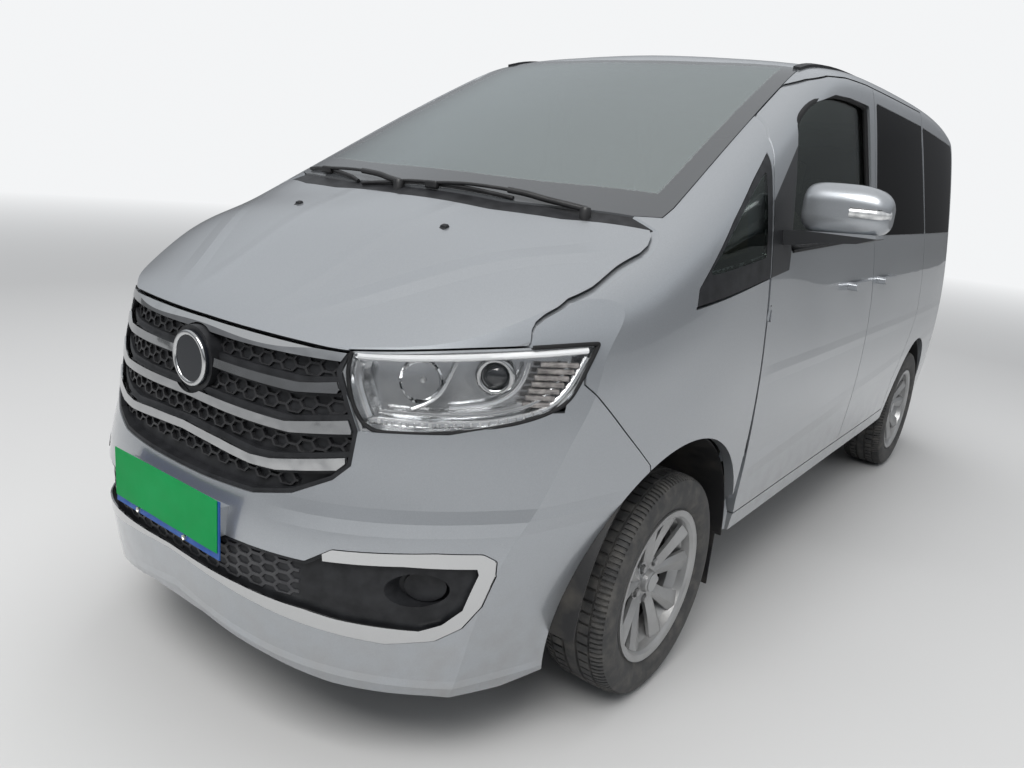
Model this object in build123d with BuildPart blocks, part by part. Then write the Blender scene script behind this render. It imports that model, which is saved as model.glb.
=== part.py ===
"""Minivan, built as separate panels, glass, trim, axles and wheels.

Frame: origin on the ground under the middle of the van, nose towards -Y,
left side towards +X, up +Z. Millimetres.
"""
import math
import os

from build123d import *

os.makedirs("parts", exist_ok=True)

# ---------------------------------------------------------------- main sizes
length = 4645.0
nose_y = -length / 2
tail_y = length / 2
wheelbase = 2810.0
front_axle_y = -1340.0
rear_axle_y = front_axle_y + wheelbase
half_track = 745.0
wheel_z = 320.0

# ---------------------------------------------------------------- thicknesses and gaps
shut_gap = 5.0            # between neighbouring panels
glass_t = 5.0
skin_t = 30.0             # bonnet, roof, wings and bumpers
wall_t = 55.0             # doors, body sides and tailgate
door_glass_in = 25.0      # front door glass sits this far inside the skin
seat_gap = 0.3            # a piece resting on its seat
under_glass = 26.0        # flange of the frame under a bonded pane
pane_gap = 3.0            # between a bonded pane and the panel round it
fit_gap = 0.8             # a lamp, grille or trim piece in its hole

# ---------------------------------------------------------------- number plate
plate_w, plate_h, plate_t = 440.0, 140.0, 3.0
plate_z = 575.0

# ---------------------------------------------------------------- wheels
tyre_r = 320.0
tyre_w = 205.0
rim_r = 220.0             # rim flange
bead_r = 204.0
rim_w = 186.0
hub_r = 72.0
lug_pcd = 114.3
spindle_r = 30.0
disc_r = 148.0
kingpin_x = half_track - 58.0
arch_r = 436.0
rear_arch_r = 402.0
liner_t = 4.0

# ---------------------------------------------------------------- body sides: height and half width
floor_z = 190.0
side_profile = [(190, 808), (330, 834), (450, 850), (620, 864), (800, 868), (950, 866), (1090, 856),
                (1200, 841), (1290, 826), (1490, 790), (1760, 742), (1930, 712)]

# Cross-sections from nose to tail: place along the van, height of the centre line,
# crown (drop per 100 mm squared, in mm), narrowing of each side, corner size.
fa, ra = front_axle_y, rear_axle_y
stations = [
    (nose_y - 138, 860, 2.6, 330, 60), (nose_y + 112, 1008, 2.6, 240, 70), (nose_y + 262, 1098, 2.4, 180, 80),
    (nose_y + 422, 1186, 2.25, 118, 85), (nose_y + 565, 1252, 2.0, 72, 90), (nose_y + 722, 1304, 1.85, 34, 95),
    (fa - 110, 1372, 1.8, 14, 100), (fa + 90, 1464, 1.65, 0, 100), (fa + 340, 1582, 1.45, 0, 95),
    (fa + 590, 1696, 1.25, 0, 90), (fa + 790, 1785, 1.15, 0, 85), (fa + 960, 1850, 1.05, 0, 80),
    (fa + 1190, 1888, 0.95, 0, 75), (fa + 1590, 1904, 0.9, 0, 70), (fa + 2240, 1905, 0.9, 0, 70),
    (ra + 30, 1890, 0.9, 10, 70), (tail_y - 422, 1862, 1.0, 24, 75), (tail_y - 172, 1832, 1.1, 42, 80),
    (tail_y + 138, 1780, 1.2, 80, 80)]

# Nose and tail on the centre line: (place, height)
nose_line = [(nose_y + 62, 100), (nose_y + 50, 200), (nose_y + 28, 330), (nose_y + 15, 430), (nose_y + 12, 520),
             (nose_y + 20, 600), (nose_y + 40, 690), (nose_y + 66, 850), (nose_y + 84, 940),
             (nose_y + 106, 1015), (nose_y + 180, 1120), (nose_y + 320, 1240)]
tail_line = [(tail_y - 440, 1980), (tail_y - 250, 1860), (tail_y - 165, 1755), (tail_y - 118, 1600),
             (tail_y - 80, 1400), (tail_y - 55, 1150), (tail_y - 30, 950), (tail_y - 4, 700), (tail_y, 560),
             (tail_y - 25, 330), (tail_y - 60, 150)]
nose_bow = 1.06e6         # the nose falls back by |x|**3 / nose_bow
tail_bow = 3800.0
tail_corner = 55.0


def side_x(z):
    for (z0, x0), (z1, x1) in zip(side_profile, side_profile[1:]):
        if z <= z1:
            return x0 + (x1 - x0) * (z - z0) / (z1 - z0)
    return x1


def section(top, crown, narrow, corner, inset):
    """Closed cross-section of the body, set in by `inset`."""
    c = crown * 1e-4
    x = 700.0
    for _ in range(30):
        z = top - c * x * x
        x = side_x(z) - narrow
    z = top - c * x * x
    low = z - corner
    half = [(side_x(floor_z + (low - floor_z) * k / 4) - narrow, floor_z + (low - floor_z) * k / 4) for k in range(5)]
    p0, p2 = half[-1], (x - corner, top - c * (x - corner) ** 2)
    for t in (0.3, 0.7):
        half.append(tuple((1 - t) ** 2 * a + 2 * t * (1 - t) * b + t * t * d for a, b, d in zip(p0, (x, z), p2)))
    half.append(p2)
    half += [(p2[0] * 0.5, top - c * (p2[0] * 0.5) ** 2)]
    full = half + [(0, top)] + [(-a, b) for a, b in reversed(half)]
    out = []
    for i, (a, b) in enumerate(full):
        q, r = full[max(i - 1, 0)], full[min(i + 1, len(full) - 1)]
        tx, tz = r[0] - q[0], r[1] - q[1]
        n = math.hypot(tx, tz)
        out.append((a - inset * tz / n, b + inset * tx / n))
    out[0] = (out[0][0], floor_z)
    out[-1] = (out[-1][0], floor_z)
    return out


def run_shares(points):
    """How far along its run each point lies, from 0 to 1."""
    runs = [0.0]
    for a, b in zip(points, points[1:]):
        runs.append(runs[-1] + math.dist(a, b))
    return [r / runs[-1] for r in runs]


def envelope(inset):
    """The outer shape of the body, set in by `inset` all round."""
    with BuildPart() as ends:
        for x in (-960, -860, -760, -620, -470, -310, -150, 0, 150, 310, 470, 620, 760, 860, 960):
            bow = abs(x) ** 3 / nose_bow
            back = x * x / tail_bow + tail_corner * (abs(x) / 780) ** 10
            a = [(y + bow + inset, z) for y, z in nose_line]
            b = [(y - back - inset, z) for y, z in tail_line]
            with BuildSketch(Plane.YZ.offset(x)):
                with BuildLine():
                    Spline(*a)
                    Polyline(a[-1], (a[-1][0], 2150), (b[0][0], 2150), b[0])
                    Spline(*b)
                    Line(b[-1], a[0])
                make_face()
        loft()
    rings = [(y, section(top, crown, narrow, corner, inset)) for y, top, crown, narrow, corner in stations]
    shares = [run_shares(ring) for _, ring in rings]
    shares = [sum(s[k] for s in shares) / len(shares) for k in range(len(shares[0]))]
    with BuildPart() as hull:
        for y, ring in rings:
            with BuildSketch(Plane.XZ.offset(-y)):
                with BuildLine():
                    add(Edge.make_spline([Vector(*p) for p in ring], parameters=shares))
                    Line(ring[-1], ring[0])
                make_face()
        loft()
        add(ends.part, mode=Mode.INTERSECT)
    return hull.part


def outline(points, grow=0.0, corner=0.0):
    with BuildSketch() as s:
        with BuildLine():
            Polyline(*points, close=True)
        make_face()
        if corner:
            fillet(s.vertices(), corner)
        if grow:
            offset(amount=grow, kind=Kind.INTERSECTION)
    return s.sketch


def side_cut(points, grow=0.0, corner=0.0, x_in=450.0, x_out=1000.0):
    with BuildPart() as tool:
        with BuildSketch(Plane.YZ.offset(x_in)):
            add(outline(points, grow, corner))
        extrude(amount=x_out - x_in)
    return tool.part


def top_cut(points, grow=0.0, corner=0.0, low=700.0, high=2200.0):
    with BuildPart() as tool:
        with BuildSketch(Plane.XY.offset(low)):
            add(outline(points, grow, corner))
        extrude(amount=high - low)
    return tool.part


def front_cut(points, grow=0.0, corner=0.0, y_from=-2600.0, y_to=-1500.0):
    with BuildPart() as tool:
        with BuildSketch(Plane.XZ.offset(-y_from)):
            add(outline(points, grow, corner))
        extrude(amount=-(y_to - y_from))
    return tool.part


def block(x0, x1, y0, y1, z0, z1):
    with BuildPart(Location(((x0 + x1) / 2, (y0 + y1) / 2, (z0 + z1) / 2))) as tool:
        Box(x1 - x0, y1 - y0, z1 - z0)
    return tool.part


def rod(x0, x1, y, z, r):
    """Cylinder along X."""
    with BuildPart() as tool:
        with BuildSketch(Plane.YZ.offset(min(x0, x1))):
            with Locations((y, z)):
                Circle(r)
        extrude(amount=abs(x1 - x0))
    return tool.part


def post(x, y, z0, z1, r):
    with BuildPart() as tool:
        with BuildSketch(Plane.XY.offset(z0)):
            with Locations((x, y)):
                Circle(r)
        extrude(amount=z1 - z0)
    return tool.part


def other_side(piece):
    return piece.mirror(Plane.YZ)


def both(points):
    """Outline given for x >= 0, closed over the middle."""
    return list(points) + [(-x, z) for x, z in reversed(points) if x > 0]


# ---------------------------------------------------------------- shut lines (side view: place along the van, height)
door_front = [(fa + 458, 405), (fa + 443, 458), (fa + 428, 644), (fa + 422, 740), (fa + 415, 1000), (fa + 418, 1240),
              (fa + 440, 1480), (fa + 480, 1560), (fa + 573, 1640), (fa + 740, 1722), (fa + 890, 1772),
              (fa + 1013, 1800), (fa + 1190, 1818)]
door_rear = [(fa + 1430, 1826), (fa + 1512, 1826), (fa + 1560, 1500), (fa + 1590, 1260), (fa + 1604, 1000),
             (fa + 1604, 600), (fa + 1596, 405)]
slide_rear = [(fa + 2390, 1826), (fa + 2402, 1706), (fa + 2577, 1269), (fa + 2590, 900), (fa + 2560, 820),
              (ra - 448, 560), (ra - 458, 405)]
front_door_line = door_front + door_rear
slide_door_line = list(reversed(door_rear)) + slide_rear
bonnet_side = [(nose_y + 435, 1040), (nose_y + 446, 1071), (nose_y + 459, 1088), (nose_y + 480, 1103), (nose_y + 544, 1136),
               (nose_y + 615, 1161), (nose_y + 723, 1204), (nose_y + 798, 1233), (fa - 150, 1250), (fa - 116, 1271),
               (fa - 98, 1286)]

# ---------------------------------------------------------------- outlines on the nose (front view: x, height)
lamp_line = [(423, 1006), (416, 962), (470, 846), (614, 852), (720, 884), (752, 908), (772, 960), (782, 1050),
             (700, 1040), (613, 1030), (508, 1016)]
grille_line = both([(0, 1006), (250, 1004), (421, 1003), (414, 962), (468, 846), (466, 770), (436, 735), (358, 692),
                    (263, 670), (100, 664), (0, 663)])
intake_line = both([(0, 556), (250, 556), (411, 552), (462, 588), (629, 593), (696, 588), (716, 570), (717, 533),
                    (702, 460), (676, 408), (637, 378), (560, 370), (442, 392), (300, 418), (191, 434), (67, 446), (0, 449)])
intake_inner = both([(0, 700), (425, 700), (448, 560), (585, 563), (692, 554), (695, 540), (677, 455), (648, 420),
                     (614, 405), (476, 424), (412, 437), (250, 452), (0, 462)])

# ---------------------------------------------------------------- glass
screen_line = both([(0, fa - 205), (300, fa - 185), (500, fa - 135), (640, fa - 82), (702, fa - 40), (704, fa + 10),
                    (664, fa + 500), (624, fa + 945), (600, fa + 985), (300, fa + 925), (0, fa + 895)])
slide_pane = [(fa + 1618, 1276), (fa + 1555, 1772), (fa + 2381, 1762), (fa + 2389, 1706), (fa + 2560, 1276)]
rear_pane = [(fa + 2584, 1276), (fa + 2410, 1760), (tail_y - 380, 1736), (tail_y - 335, 1690), (tail_y - 322, 1290),
             (tail_y - 334, 1276)]
door_window = [(fa + 575, 1236), (fa + 600, 1360), (fa + 632, 1520), (fa + 652, 1612), (fa + 800, 1690),
               (fa + 1020, 1742), (fa + 1200, 1752), (fa + 1448, 1752), (fa + 1500, 1480), (fa + 1534, 1268)]
quarter_line = [(fa - 62, 1118), (fa - 52, 1158), (fa + 150, 1325), (fa + 300, 1430), (fa + 425, 1510),
                (fa + 408, 1240), (fa + 408, 1166)]
quarter_pane = [(fa - 6, 1190), (fa + 170, 1322), (fa + 300, 1412), (fa + 385, 1462), (fa + 372, 1240),
                (fa + 366, 1225)]
gate_pane = both([(0, 1735), (560, 1700), (590, 1640), (640, 1250), (600, 1205), (0, 1190)])
gate_line = both([(0, 2000), (655, 2000), (655, 1680), (672, 1200), (672, 700), (640, 575), (0, 575)])
tail_lamp_line = [(683, 1225), (683, 880), (860, 880), (860, 1225)]

# ---------------------------------------------------------------- body shells
outer = envelope(0)
under_pane = envelope(glass_t)
door_glass_face = envelope(door_glass_in)
under_skin = envelope(skin_t)
under_wall = envelope(wall_t)
pane_shell = outer - under_pane
skin_shell = outer - under_skin
wall_shell = outer - under_wall
door_glass_shell = door_glass_face - under_skin
half = shut_gap / 2

front_arch = rod(440, 1000, fa, wheel_z, arch_r)
rear_arch = rod(560, 1000, ra, wheel_z, rear_arch_r)
lamp_hole = front_cut(lamp_line, fit_gap)
grille_hole = front_cut(grille_line, fit_gap)
intake_corner = 12.0
intake_hole = front_cut(intake_line, fit_gap, intake_corner)

# ---------------------------------------------------------------- bonnet, on two swan-neck hinges under the screen
pin_r = 6.0
pin_slip = 0.3
bonnet_pin_y, bonnet_pin_z = fa - 85.0, 1322.0
neck_x, neck_w = 250.0, 18.0
neck_line = [(-16, 8), (-16, -14), (-62, -152), (-96, -176), (-140, -156), (-206, -96), (-240, -60), (-240, -84),
             (-190, -128), (-128, -186), (-90, -196), (-50, -172), (12, -12), (12, 8)]
bonnet_rear = [(0, fa - 262), (300, fa - 238), (500, fa - 190), (640, fa - 128), (712, fa - 96)]
bonnet_plan = both(bonnet_rear + [(760, fa - 96), (760, nose_y + 436), (692, nose_y + 434), (613, nose_y + 300),
                                  (508, nose_y + 205), (403, nose_y + 140), (224, nose_y + 95), (0, nose_y + 84)])
bonnet_keep = side_cut([(y, z + half + 2.5) for y, z in bonnet_side] + [(fa, 1330), (fa, 1600), (nose_y - 50, 1600), (nose_y - 50, 800), (nose_y + 435, 800)],
                       0, 0, -1000, 1000)
bonnet_lamp_clear = front_cut(lamp_line, shut_gap)
with BuildPart() as bonnet:
    add(skin_shell)
    add(top_cut(bonnet_plan, -half, 0, 900, 1500), mode=Mode.INTERSECT)
    add(bonnet_keep, mode=Mode.INTERSECT)
    add(bonnet_lamp_clear, mode=Mode.SUBTRACT)
    add(other_side(bonnet_lamp_clear), mode=Mode.SUBTRACT)
    add(front_cut(grille_line, shut_gap), mode=Mode.SUBTRACT)
    for x in (-neck_x, neck_x):
        with BuildSketch(Plane.YZ.offset(x - neck_w / 2)):
            with Locations((bonnet_pin_y, bonnet_pin_z)):
                add(outline(neck_line))
                Circle(14)
        extrude(amount=neck_w)
        add(rod(x - neck_w, x + neck_w, bonnet_pin_y, bonnet_pin_z, pin_r + pin_slip), mode=Mode.SUBTRACT)

# ---------------------------------------------------------------- wings
wing_line = [(y, z - half - 1) for y, z in bonnet_side[:-1]] + [(fa - 91, 1287), (fa - 72, 1345), (fa + 60, 1372)] + \
            [(fa + 60 - half, 1300), (fa - 52 - half, 1158), (fa - 68 - half, 1112), (fa - 68, 1112 - half),
             (fa + 415 - half, 1166 - half), (fa + 415 - half, 1000), (fa + 422 - half, 740), (fa + 428 - half, 644),
             (fa + 443 - half, 458), (fa + 458 - half, 405), (fa + 458 - half, 345), (fa + 300, 345), (fa, 345), (fa - 142, 600)] + \
            [(fa - 193 + half, 731 - 1), (fa - 300 + half, 827), (nose_y + 536 + half, 962), (nose_y + 545 + half, 1050),
             (nose_y + 500, 1048)]
hinge_x, hinge_y = 850.0, fa + 435.0
with BuildPart() as front_fender_left:
    add(skin_shell)
    add(side_cut(wing_line, 0, 0, 560, 1000), mode=Mode.INTERSECT)
    add(lamp_hole, mode=Mode.SUBTRACT)
    add(front_arch, mode=Mode.SUBTRACT)
    add(top_cut(screen_line, pane_gap), mode=Mode.SUBTRACT)
    add(post(hinge_x, hinge_y, 300, 1250, 32), mode=Mode.SUBTRACT)

# ---------------------------------------------------------------- front bumper
bumper_line = [(nose_y - 60, 180), (nose_y - 60, 985), (nose_y + 538 - half, 985), (nose_y + 536 - half, 962),
               (fa - 300 - half, 827), (fa - 193 - half, 731), (fa - 150, 600), (fa - 150, 180)]
bumper_low = both([(0, 318), (110, 316), (300, 284), (455, 248), (627, 224), (700, 204), (780, 222), (900, 222), (900, 100)])
with BuildPart() as front_bumper:
    add(skin_shell)
    add(side_cut(bumper_line, 0, 0, -1000, 1000), mode=Mode.INTERSECT)
    add(top_cut(bonnet_plan, half, 0, 900, 1500), mode=Mode.SUBTRACT)
    add(front_cut(bumper_low), mode=Mode.SUBTRACT)
    add(block(-plate_w / 2 + 25, plate_w / 2 - 12, nose_y + plate_t + seat_gap, nose_y + 60, plate_z - plate_h / 2 + 4, plate_z + plate_h / 2 - 20))
    add(lamp_hole, mode=Mode.SUBTRACT)
    add(other_side(lamp_hole), mode=Mode.SUBTRACT)
    add(grille_hole, mode=Mode.SUBTRACT)
    add(intake_hole, mode=Mode.SUBTRACT)
    add(front_arch, mode=Mode.SUBTRACT)
    add(other_side(front_arch), mode=Mode.SUBTRACT)

# ---------------------------------------------------------------- headlamps: a dark housing behind a clear lens
lamp_depth = 70.0
lamp_body = front_cut(lamp_line, 0, 0, -2600, -1650)
with BuildPart() as lamp_lenses:
    add(pane_shell)
    add(lamp_body, mode=Mode.INTERSECT)
    mirror(about=Plane.YZ)
lamp_wall = 5.0
with BuildPart() as headlamps:
    add(under_pane)
    add(lamp_body, mode=Mode.INTERSECT)
    add(under_pane.moved(Location((0, lamp_depth + 25, 0))), mode=Mode.SUBTRACT)
    add(front_cut(lamp_line, -lamp_wall, 0, -2600, -1600) - under_pane.moved(Location((0, lamp_depth, 0))), mode=Mode.SUBTRACT)
    mirror(about=Plane.YZ)

# ---------------------------------------------------------------- grille: back plate, louvres, chrome bars in front
grille_nose = outer & block(-490, 490, nose_y - 60, nose_y + 400, 650, 1020)
intake_nose = outer & block(-740, 740, nose_y - 60, nose_y + 560, 350, 610)


def nose_shell(nose, front, back):
    """Slice of a block of the nose between two depths behind its skin."""
    return nose.moved(Location((0, front, 0))) - nose.moved(Location((0, back, 0)))


def oval_cut(x, z, across, high):
    with BuildPart() as tool:
        with BuildSketch(Plane.XZ.offset(2600)):
            with Locations((x, z)):
                Ellipse(across, high)
        extrude(amount=-900)
    return tool.part


bar_depth = 15.0
mesh_in = 26.0
mesh_t = 12.0
bars = [([(0, 1006), (250, 1004), (420, 1003)], [(412, 984), (154, 981), (0, 982)]),
        ([(0, 929), (335, 928), (374, 934), (428, 944)], [(418, 918), (327, 907), (0, 911)]),
        ([(0, 846), (220, 843), (316, 841), (452, 866)], [(462, 838), (332, 820), (150, 823), (0, 827)]),
        ([(0, 766), (140, 760), (240, 751), (295, 754), (455, 786)], [(458, 760), (312, 733), (245, 731), (120, 741), (0, 747)])]
louvre_grow = 10.0


def bar_cut(bar, grow=0.0):
    """One bar's outline across the nose, with its long edges moved out by `grow`."""
    upper, lower = bar
    return front_cut(both([(x, z + grow) for x, z in upper] + [(x, z - grow) for x, z in lower]))


badge_z = 913.0
badge_back = 104.0
badge_r = 66.0
with BuildPart() as grille:
    add(nose_shell(grille_nose, mesh_in, mesh_in + mesh_t))
    add(front_cut(grille_line), mode=Mode.INTERSECT)
    add(nose_shell(grille_nose, 3, mesh_in + 1) & (front_cut(grille_line) - front_cut(grille_line, -9)))
    louvres = nose_shell(grille_nose, bar_depth - 2, mesh_in + 1) & front_cut(grille_line, -4)
    for bar in bars[1:]:
        add(louvres & bar_cut(bar, louvre_grow))
    with Locations(Location((0, nose_y + badge_back, badge_z), (90, 0, 0))):
        Cylinder(badge_r + 11, 56)
    add(bar_cut(bars[0], seat_gap) & grille_nose - grille_nose.moved(Location((0, bar_depth - 2, 0))), mode=Mode.SUBTRACT)
with BuildPart() as grille_bars:
    bright = nose_shell(grille_nose, -3, bar_depth - 2 - seat_gap)
    add(bright & bar_cut(bars[0]) & front_cut(grille_line, -fit_gap))
    for bar in bars[1:]:
        add(bright & bar_cut(bar) & front_cut(grille_line, -9.3))
    with Locations(Location((0, nose_y + badge_back, badge_z), (90, 0, 0))):
        Cylinder(badge_r + 15, 90, mode=Mode.SUBTRACT)
with BuildPart() as badge:
    with BuildSketch(Plane.XZ.offset(-(nose_y + badge_back - 28 - seat_gap))):
        with Locations((0, badge_z)):
            Circle(badge_r)
    extrude(amount=9)
    fillet(badge.faces().sort_by(Axis.Y)[0].edges(), 4)

# ---------------------------------------------------------------- lower intake with fog recesses, and its bright surround
intake_in = 16.0
fog_x, fog_z = 600.0, 500.0
with BuildPart() as lower_intake:
    add(nose_shell(intake_nose, intake_in, intake_in + 18))
    add(front_cut(intake_line, 0, intake_corner), mode=Mode.INTERSECT)
    add(nose_shell(intake_nose, 3, intake_in + 1) & (front_cut(intake_line, 0, intake_corner) - front_cut(intake_line, -7)))
    for x in (-fog_x, fog_x):
        add(oval_cut(x, fog_z, 50, 40), mode=Mode.SUBTRACT)
        add((oval_cut(x, fog_z, 53, 43) & nose_shell(intake_nose, intake_in, intake_in + 50)) - (oval_cut(x, fog_z, 50, 40) & nose_shell(intake_nose, intake_in - 5, intake_in + 46)))
with BuildPart() as fog_bezels:
    add(nose_shell(intake_nose, -2, 3 - seat_gap))
    add(front_cut(intake_line, -fit_gap, intake_corner) - front_cut(intake_inner), mode=Mode.INTERSECT)

# ---------------------------------------------------------------- number plate on its holder
with BuildPart() as number_plate:
    with Locations((0, nose_y + plate_t / 2, plate_z)):
        Box(plate_w, plate_t, plate_h)

# ---------------------------------------------------------------- cowl and windscreen
cowl_plan = both(bonnet_rear + [(706, fa - 60), (704, fa - 20), (640, fa - 50), (500, fa - 100), (300, fa - 150), (0, fa - 172)])
with BuildPart() as cowl_panel:
    add(skin_shell)
    add(top_cut(cowl_plan, 0, 0, 1000, 1600), mode=Mode.INTERSECT)
    add(top_cut(bonnet_plan, half, 0, 900, 1700), mode=Mode.SUBTRACT)
    add(pane_shell, mode=Mode.SUBTRACT)
    add(front_fender_left.part, mode=Mode.SUBTRACT)
    add(other_side(front_fender_left.part), mode=Mode.SUBTRACT)
    with BuildPart() as scuttle:
        add(under_pane.moved(Location((0, 0, -seat_gap))))
        add(block(-640, 640, bonnet_pin_y + 40, bonnet_pin_y + 70, 1190, 1500), mode=Mode.INTERSECT)
    add(scuttle.part)
    for side in (-1, 1):
        for x in (side * neck_x - neck_w / 2 - 13.5, side * neck_x + neck_w / 2 + 3.5):
            add(block(x, x + 10, bonnet_pin_y - 9, bonnet_pin_y + 45, bonnet_pin_z - 9, bonnet_pin_z + 9))
        add(rod(side * neck_x - neck_w / 2 - 13, side * neck_x + neck_w / 2 + 13, bonnet_pin_y, bonnet_pin_z, pin_r))

with BuildPart() as windscreen:
    add(pane_shell)
    add(top_cut(screen_line), mode=Mode.INTERSECT)

# ---------------------------------------------------------------- roof
ditch_x = 614.0
hinge_gate_y = tail_y - 328
roof_plan = both([(0, fa + 868), (300, fa + 898), (580, fa + 950), (ditch_x - 1, fa + 960), (ditch_x - 1, hinge_gate_y - half), (0, hinge_gate_y - half)])
gate_pin_y, gate_pin_z = hinge_gate_y, 1860.0
gate_hinge_x = 430.0
hinge_leaf = 24.0
with BuildPart() as roof_panel:
    add(skin_shell)
    add(top_cut(roof_plan), mode=Mode.INTERSECT)
    add(front_cut([(-1000, 1500), (1000, 1500), (1000, 2200), (-1000, 2200)], 0, 0, -2600, 2600), mode=Mode.INTERSECT)
    add(pane_shell & top_cut(screen_line, pane_gap), mode=Mode.SUBTRACT)
    for side in (-1, 1):
        for x in (side * gate_hinge_x - hinge_leaf - 1, side * gate_hinge_x + hinge_leaf / 2 + 1):
            add(block(x, x + hinge_leaf / 2, gate_pin_y - 60, gate_pin_y, 1815, gate_pin_z + 3))
            add(rod(x, x + hinge_leaf / 2, gate_pin_y, gate_pin_z, 11))
        add(rod(side * gate_hinge_x - hinge_leaf, side * gate_hinge_x + hinge_leaf, gate_pin_y, gate_pin_z, pin_r))

# ---------------------------------------------------------------- doors
door_in = 642.0           # the door's innermost edge, under the roof rail
with BuildPart() as door_glass_left:
    add(door_glass_shell)
    add(side_cut(door_window, 14, 18), mode=Mode.INTERSECT)

handle_z = 1095.0


def pull(y0, y1):
    """Bar handle standing off the door skin on its two ends."""
    with BuildPart() as bar:
        add(block(850, 905, y0, y1, handle_z - 15, handle_z + 15))
        fillet(bar.edges().filter_by(Axis.X), 12)
        add(outer.moved(Location((34, 0, 0))), mode=Mode.INTERSECT)
        add(outer.moved(Location((16, 0, 0))) & block(800, 950, y0 + 26, y1 - 26, handle_z - 30, handle_z + 30), mode=Mode.SUBTRACT)
        add(outer.moved(Location((-8, 0, 0))), mode=Mode.SUBTRACT)
    return bar.part


# hinge pins stand on a post inside the body side, the door turns on them
hinge_zs = (650.0, 1040.0)
hinge_h = 50.0
with BuildPart() as front_door_left:
    add(wall_shell)
    add(side_cut(front_door_line, -half, 0, door_in), mode=Mode.INTERSECT)
    for z in hinge_zs:
        add(post(hinge_x, hinge_y, z - hinge_h / 2 - 20, z + hinge_h / 2 + 20, pin_r + pin_slip), mode=Mode.SUBTRACT)
        add(block(hinge_x - 90, hinge_x + 9, hinge_y - 40, hinge_y + 9, z - hinge_h / 2 - 5, z + hinge_h / 2 + 5), mode=Mode.SUBTRACT)
    add(side_cut(door_window, 0, 18), mode=Mode.SUBTRACT)
    add(top_cut(screen_line, shut_gap), mode=Mode.SUBTRACT)
    add(door_glass_left.part, mode=Mode.SUBTRACT)
    add(pull(fa + 1232, fa + 1442))

with BuildPart() as sliding_door_left:
    add(wall_shell)
    add(side_cut(slide_door_line, -half, 0, door_in), mode=Mode.INTERSECT)
    add(side_cut(slide_pane, -under_glass, 18), mode=Mode.SUBTRACT)
    add(pane_shell & side_cut(slide_pane, pane_gap, 12), mode=Mode.SUBTRACT)
    add(rear_arch, mode=Mode.SUBTRACT)
    add(pull(fa + 1660, fa + 1870))

# ---------------------------------------------------------------- body side
side_plan = [(ditch_x + 1, fa + 960), (ditch_x + 1, 2600), (1000, 2600), (1000, fa - 200), (700, fa - 200), (700, fa - 30), (684, fa + 10),
             (640, fa + 500), (ditch_x + 1, fa + 900)]
side_line = [(fa - 84, 1116), (fa + 415, 1166), (fa + 458, 345), (tail_y + 50, 345), (tail_y + 50, 1990), (fa - 84, 1990)]
rear_bumper_line = [(ra + 340, 340), (ra + 385, 560), (ra + 430, 640), (tail_y - 300, 668), (tail_y + 60, 668), (tail_y + 60, 250), (ra + 340, 250)]
with BuildPart() as side_frame_left:
    add(wall_shell)
    add(top_cut(side_plan, 0, 0, 300, 2200), mode=Mode.INTERSECT)
    add(side_cut(side_line, 0, 0, 400, 1000), mode=Mode.INTERSECT)
    add(side_cut(front_door_line, half, 0, door_in - shut_gap), mode=Mode.SUBTRACT)
    add(side_cut(slide_door_line, half, 0, door_in - shut_gap), mode=Mode.SUBTRACT)
    add(side_cut(wing_line, 0, 0, 560, 1000), mode=Mode.SUBTRACT)
    add(side_cut(rear_pane, -under_glass, 18), mode=Mode.SUBTRACT)
    pane_bed = side_cut(rear_pane, pane_gap, 12)
    add(pane_shell & pane_bed, mode=Mode.SUBTRACT)
    add(pane_shell.moved(Location((-seat_gap, 0, 0))) & pane_bed, mode=Mode.SUBTRACT)
    add(side_cut(quarter_pane, -8, 6), mode=Mode.SUBTRACT)
    add(pane_shell & side_cut(quarter_line, pane_gap), mode=Mode.SUBTRACT)
    add(pane_shell & top_cut(screen_line, pane_gap), mode=Mode.SUBTRACT)
    add(rear_arch, mode=Mode.SUBTRACT)
    add(side_cut(rear_bumper_line, half, 0, 0, 1000), mode=Mode.SUBTRACT)
    add(front_cut(gate_line, half, 0, 1700, 2600), mode=Mode.SUBTRACT)
    add(front_cut(tail_lamp_line, fit_gap, 0, tail_y - 258 - fit_gap, 2600), mode=Mode.SUBTRACT)
    add(block(760, 806, fa + 350, fa + 405, 640 - hinge_h, 1185))
    for z in hinge_zs:
        add(block(hinge_x - 56, hinge_x - 42, fa + 380, hinge_y + 7, z - hinge_h / 2, z + hinge_h / 2))
        add(block(hinge_x - 56, hinge_x, hinge_y - 7, hinge_y + 7, z - hinge_h / 2, z + hinge_h / 2))
        add(post(hinge_x, hinge_y, z - hinge_h / 2 - 15, z + hinge_h / 2 + 15, pin_r))

# ---------------------------------------------------------------- tailgate
gate_top = top_cut([(-700, hinge_gate_y + half), (700, hinge_gate_y + half), (700, 2600), (-700, 2600)], 0, 0, 400, 2200)
gate_outline = front_cut(gate_line, -half, 0, 1700, 2600)
gate_pane_cut = front_cut(gate_pane, 0, 25, 1700, 2600)
with BuildPart() as tailgate:
    add(wall_shell)
    add(gate_top, mode=Mode.INTERSECT)
    add(gate_outline, mode=Mode.INTERSECT)
    add(front_cut(gate_pane, -under_glass, 18, 1700, 2600), mode=Mode.SUBTRACT)
    add(pane_shell & front_cut(gate_pane, pane_gap, 25, 1700, 2600), mode=Mode.SUBTRACT)
    for x in (-gate_hinge_x, gate_hinge_x):
        add(rod(x - hinge_leaf / 2, x + hinge_leaf / 2, gate_pin_y, gate_pin_z, 11))
        add(block(x - hinge_leaf / 2, x + hinge_leaf / 2, gate_pin_y, gate_pin_y + 62, 1800, gate_pin_z + 3))
        add(rod(x - hinge_leaf, x + hinge_leaf, gate_pin_y, gate_pin_z, pin_r + pin_slip), mode=Mode.SUBTRACT)
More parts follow.
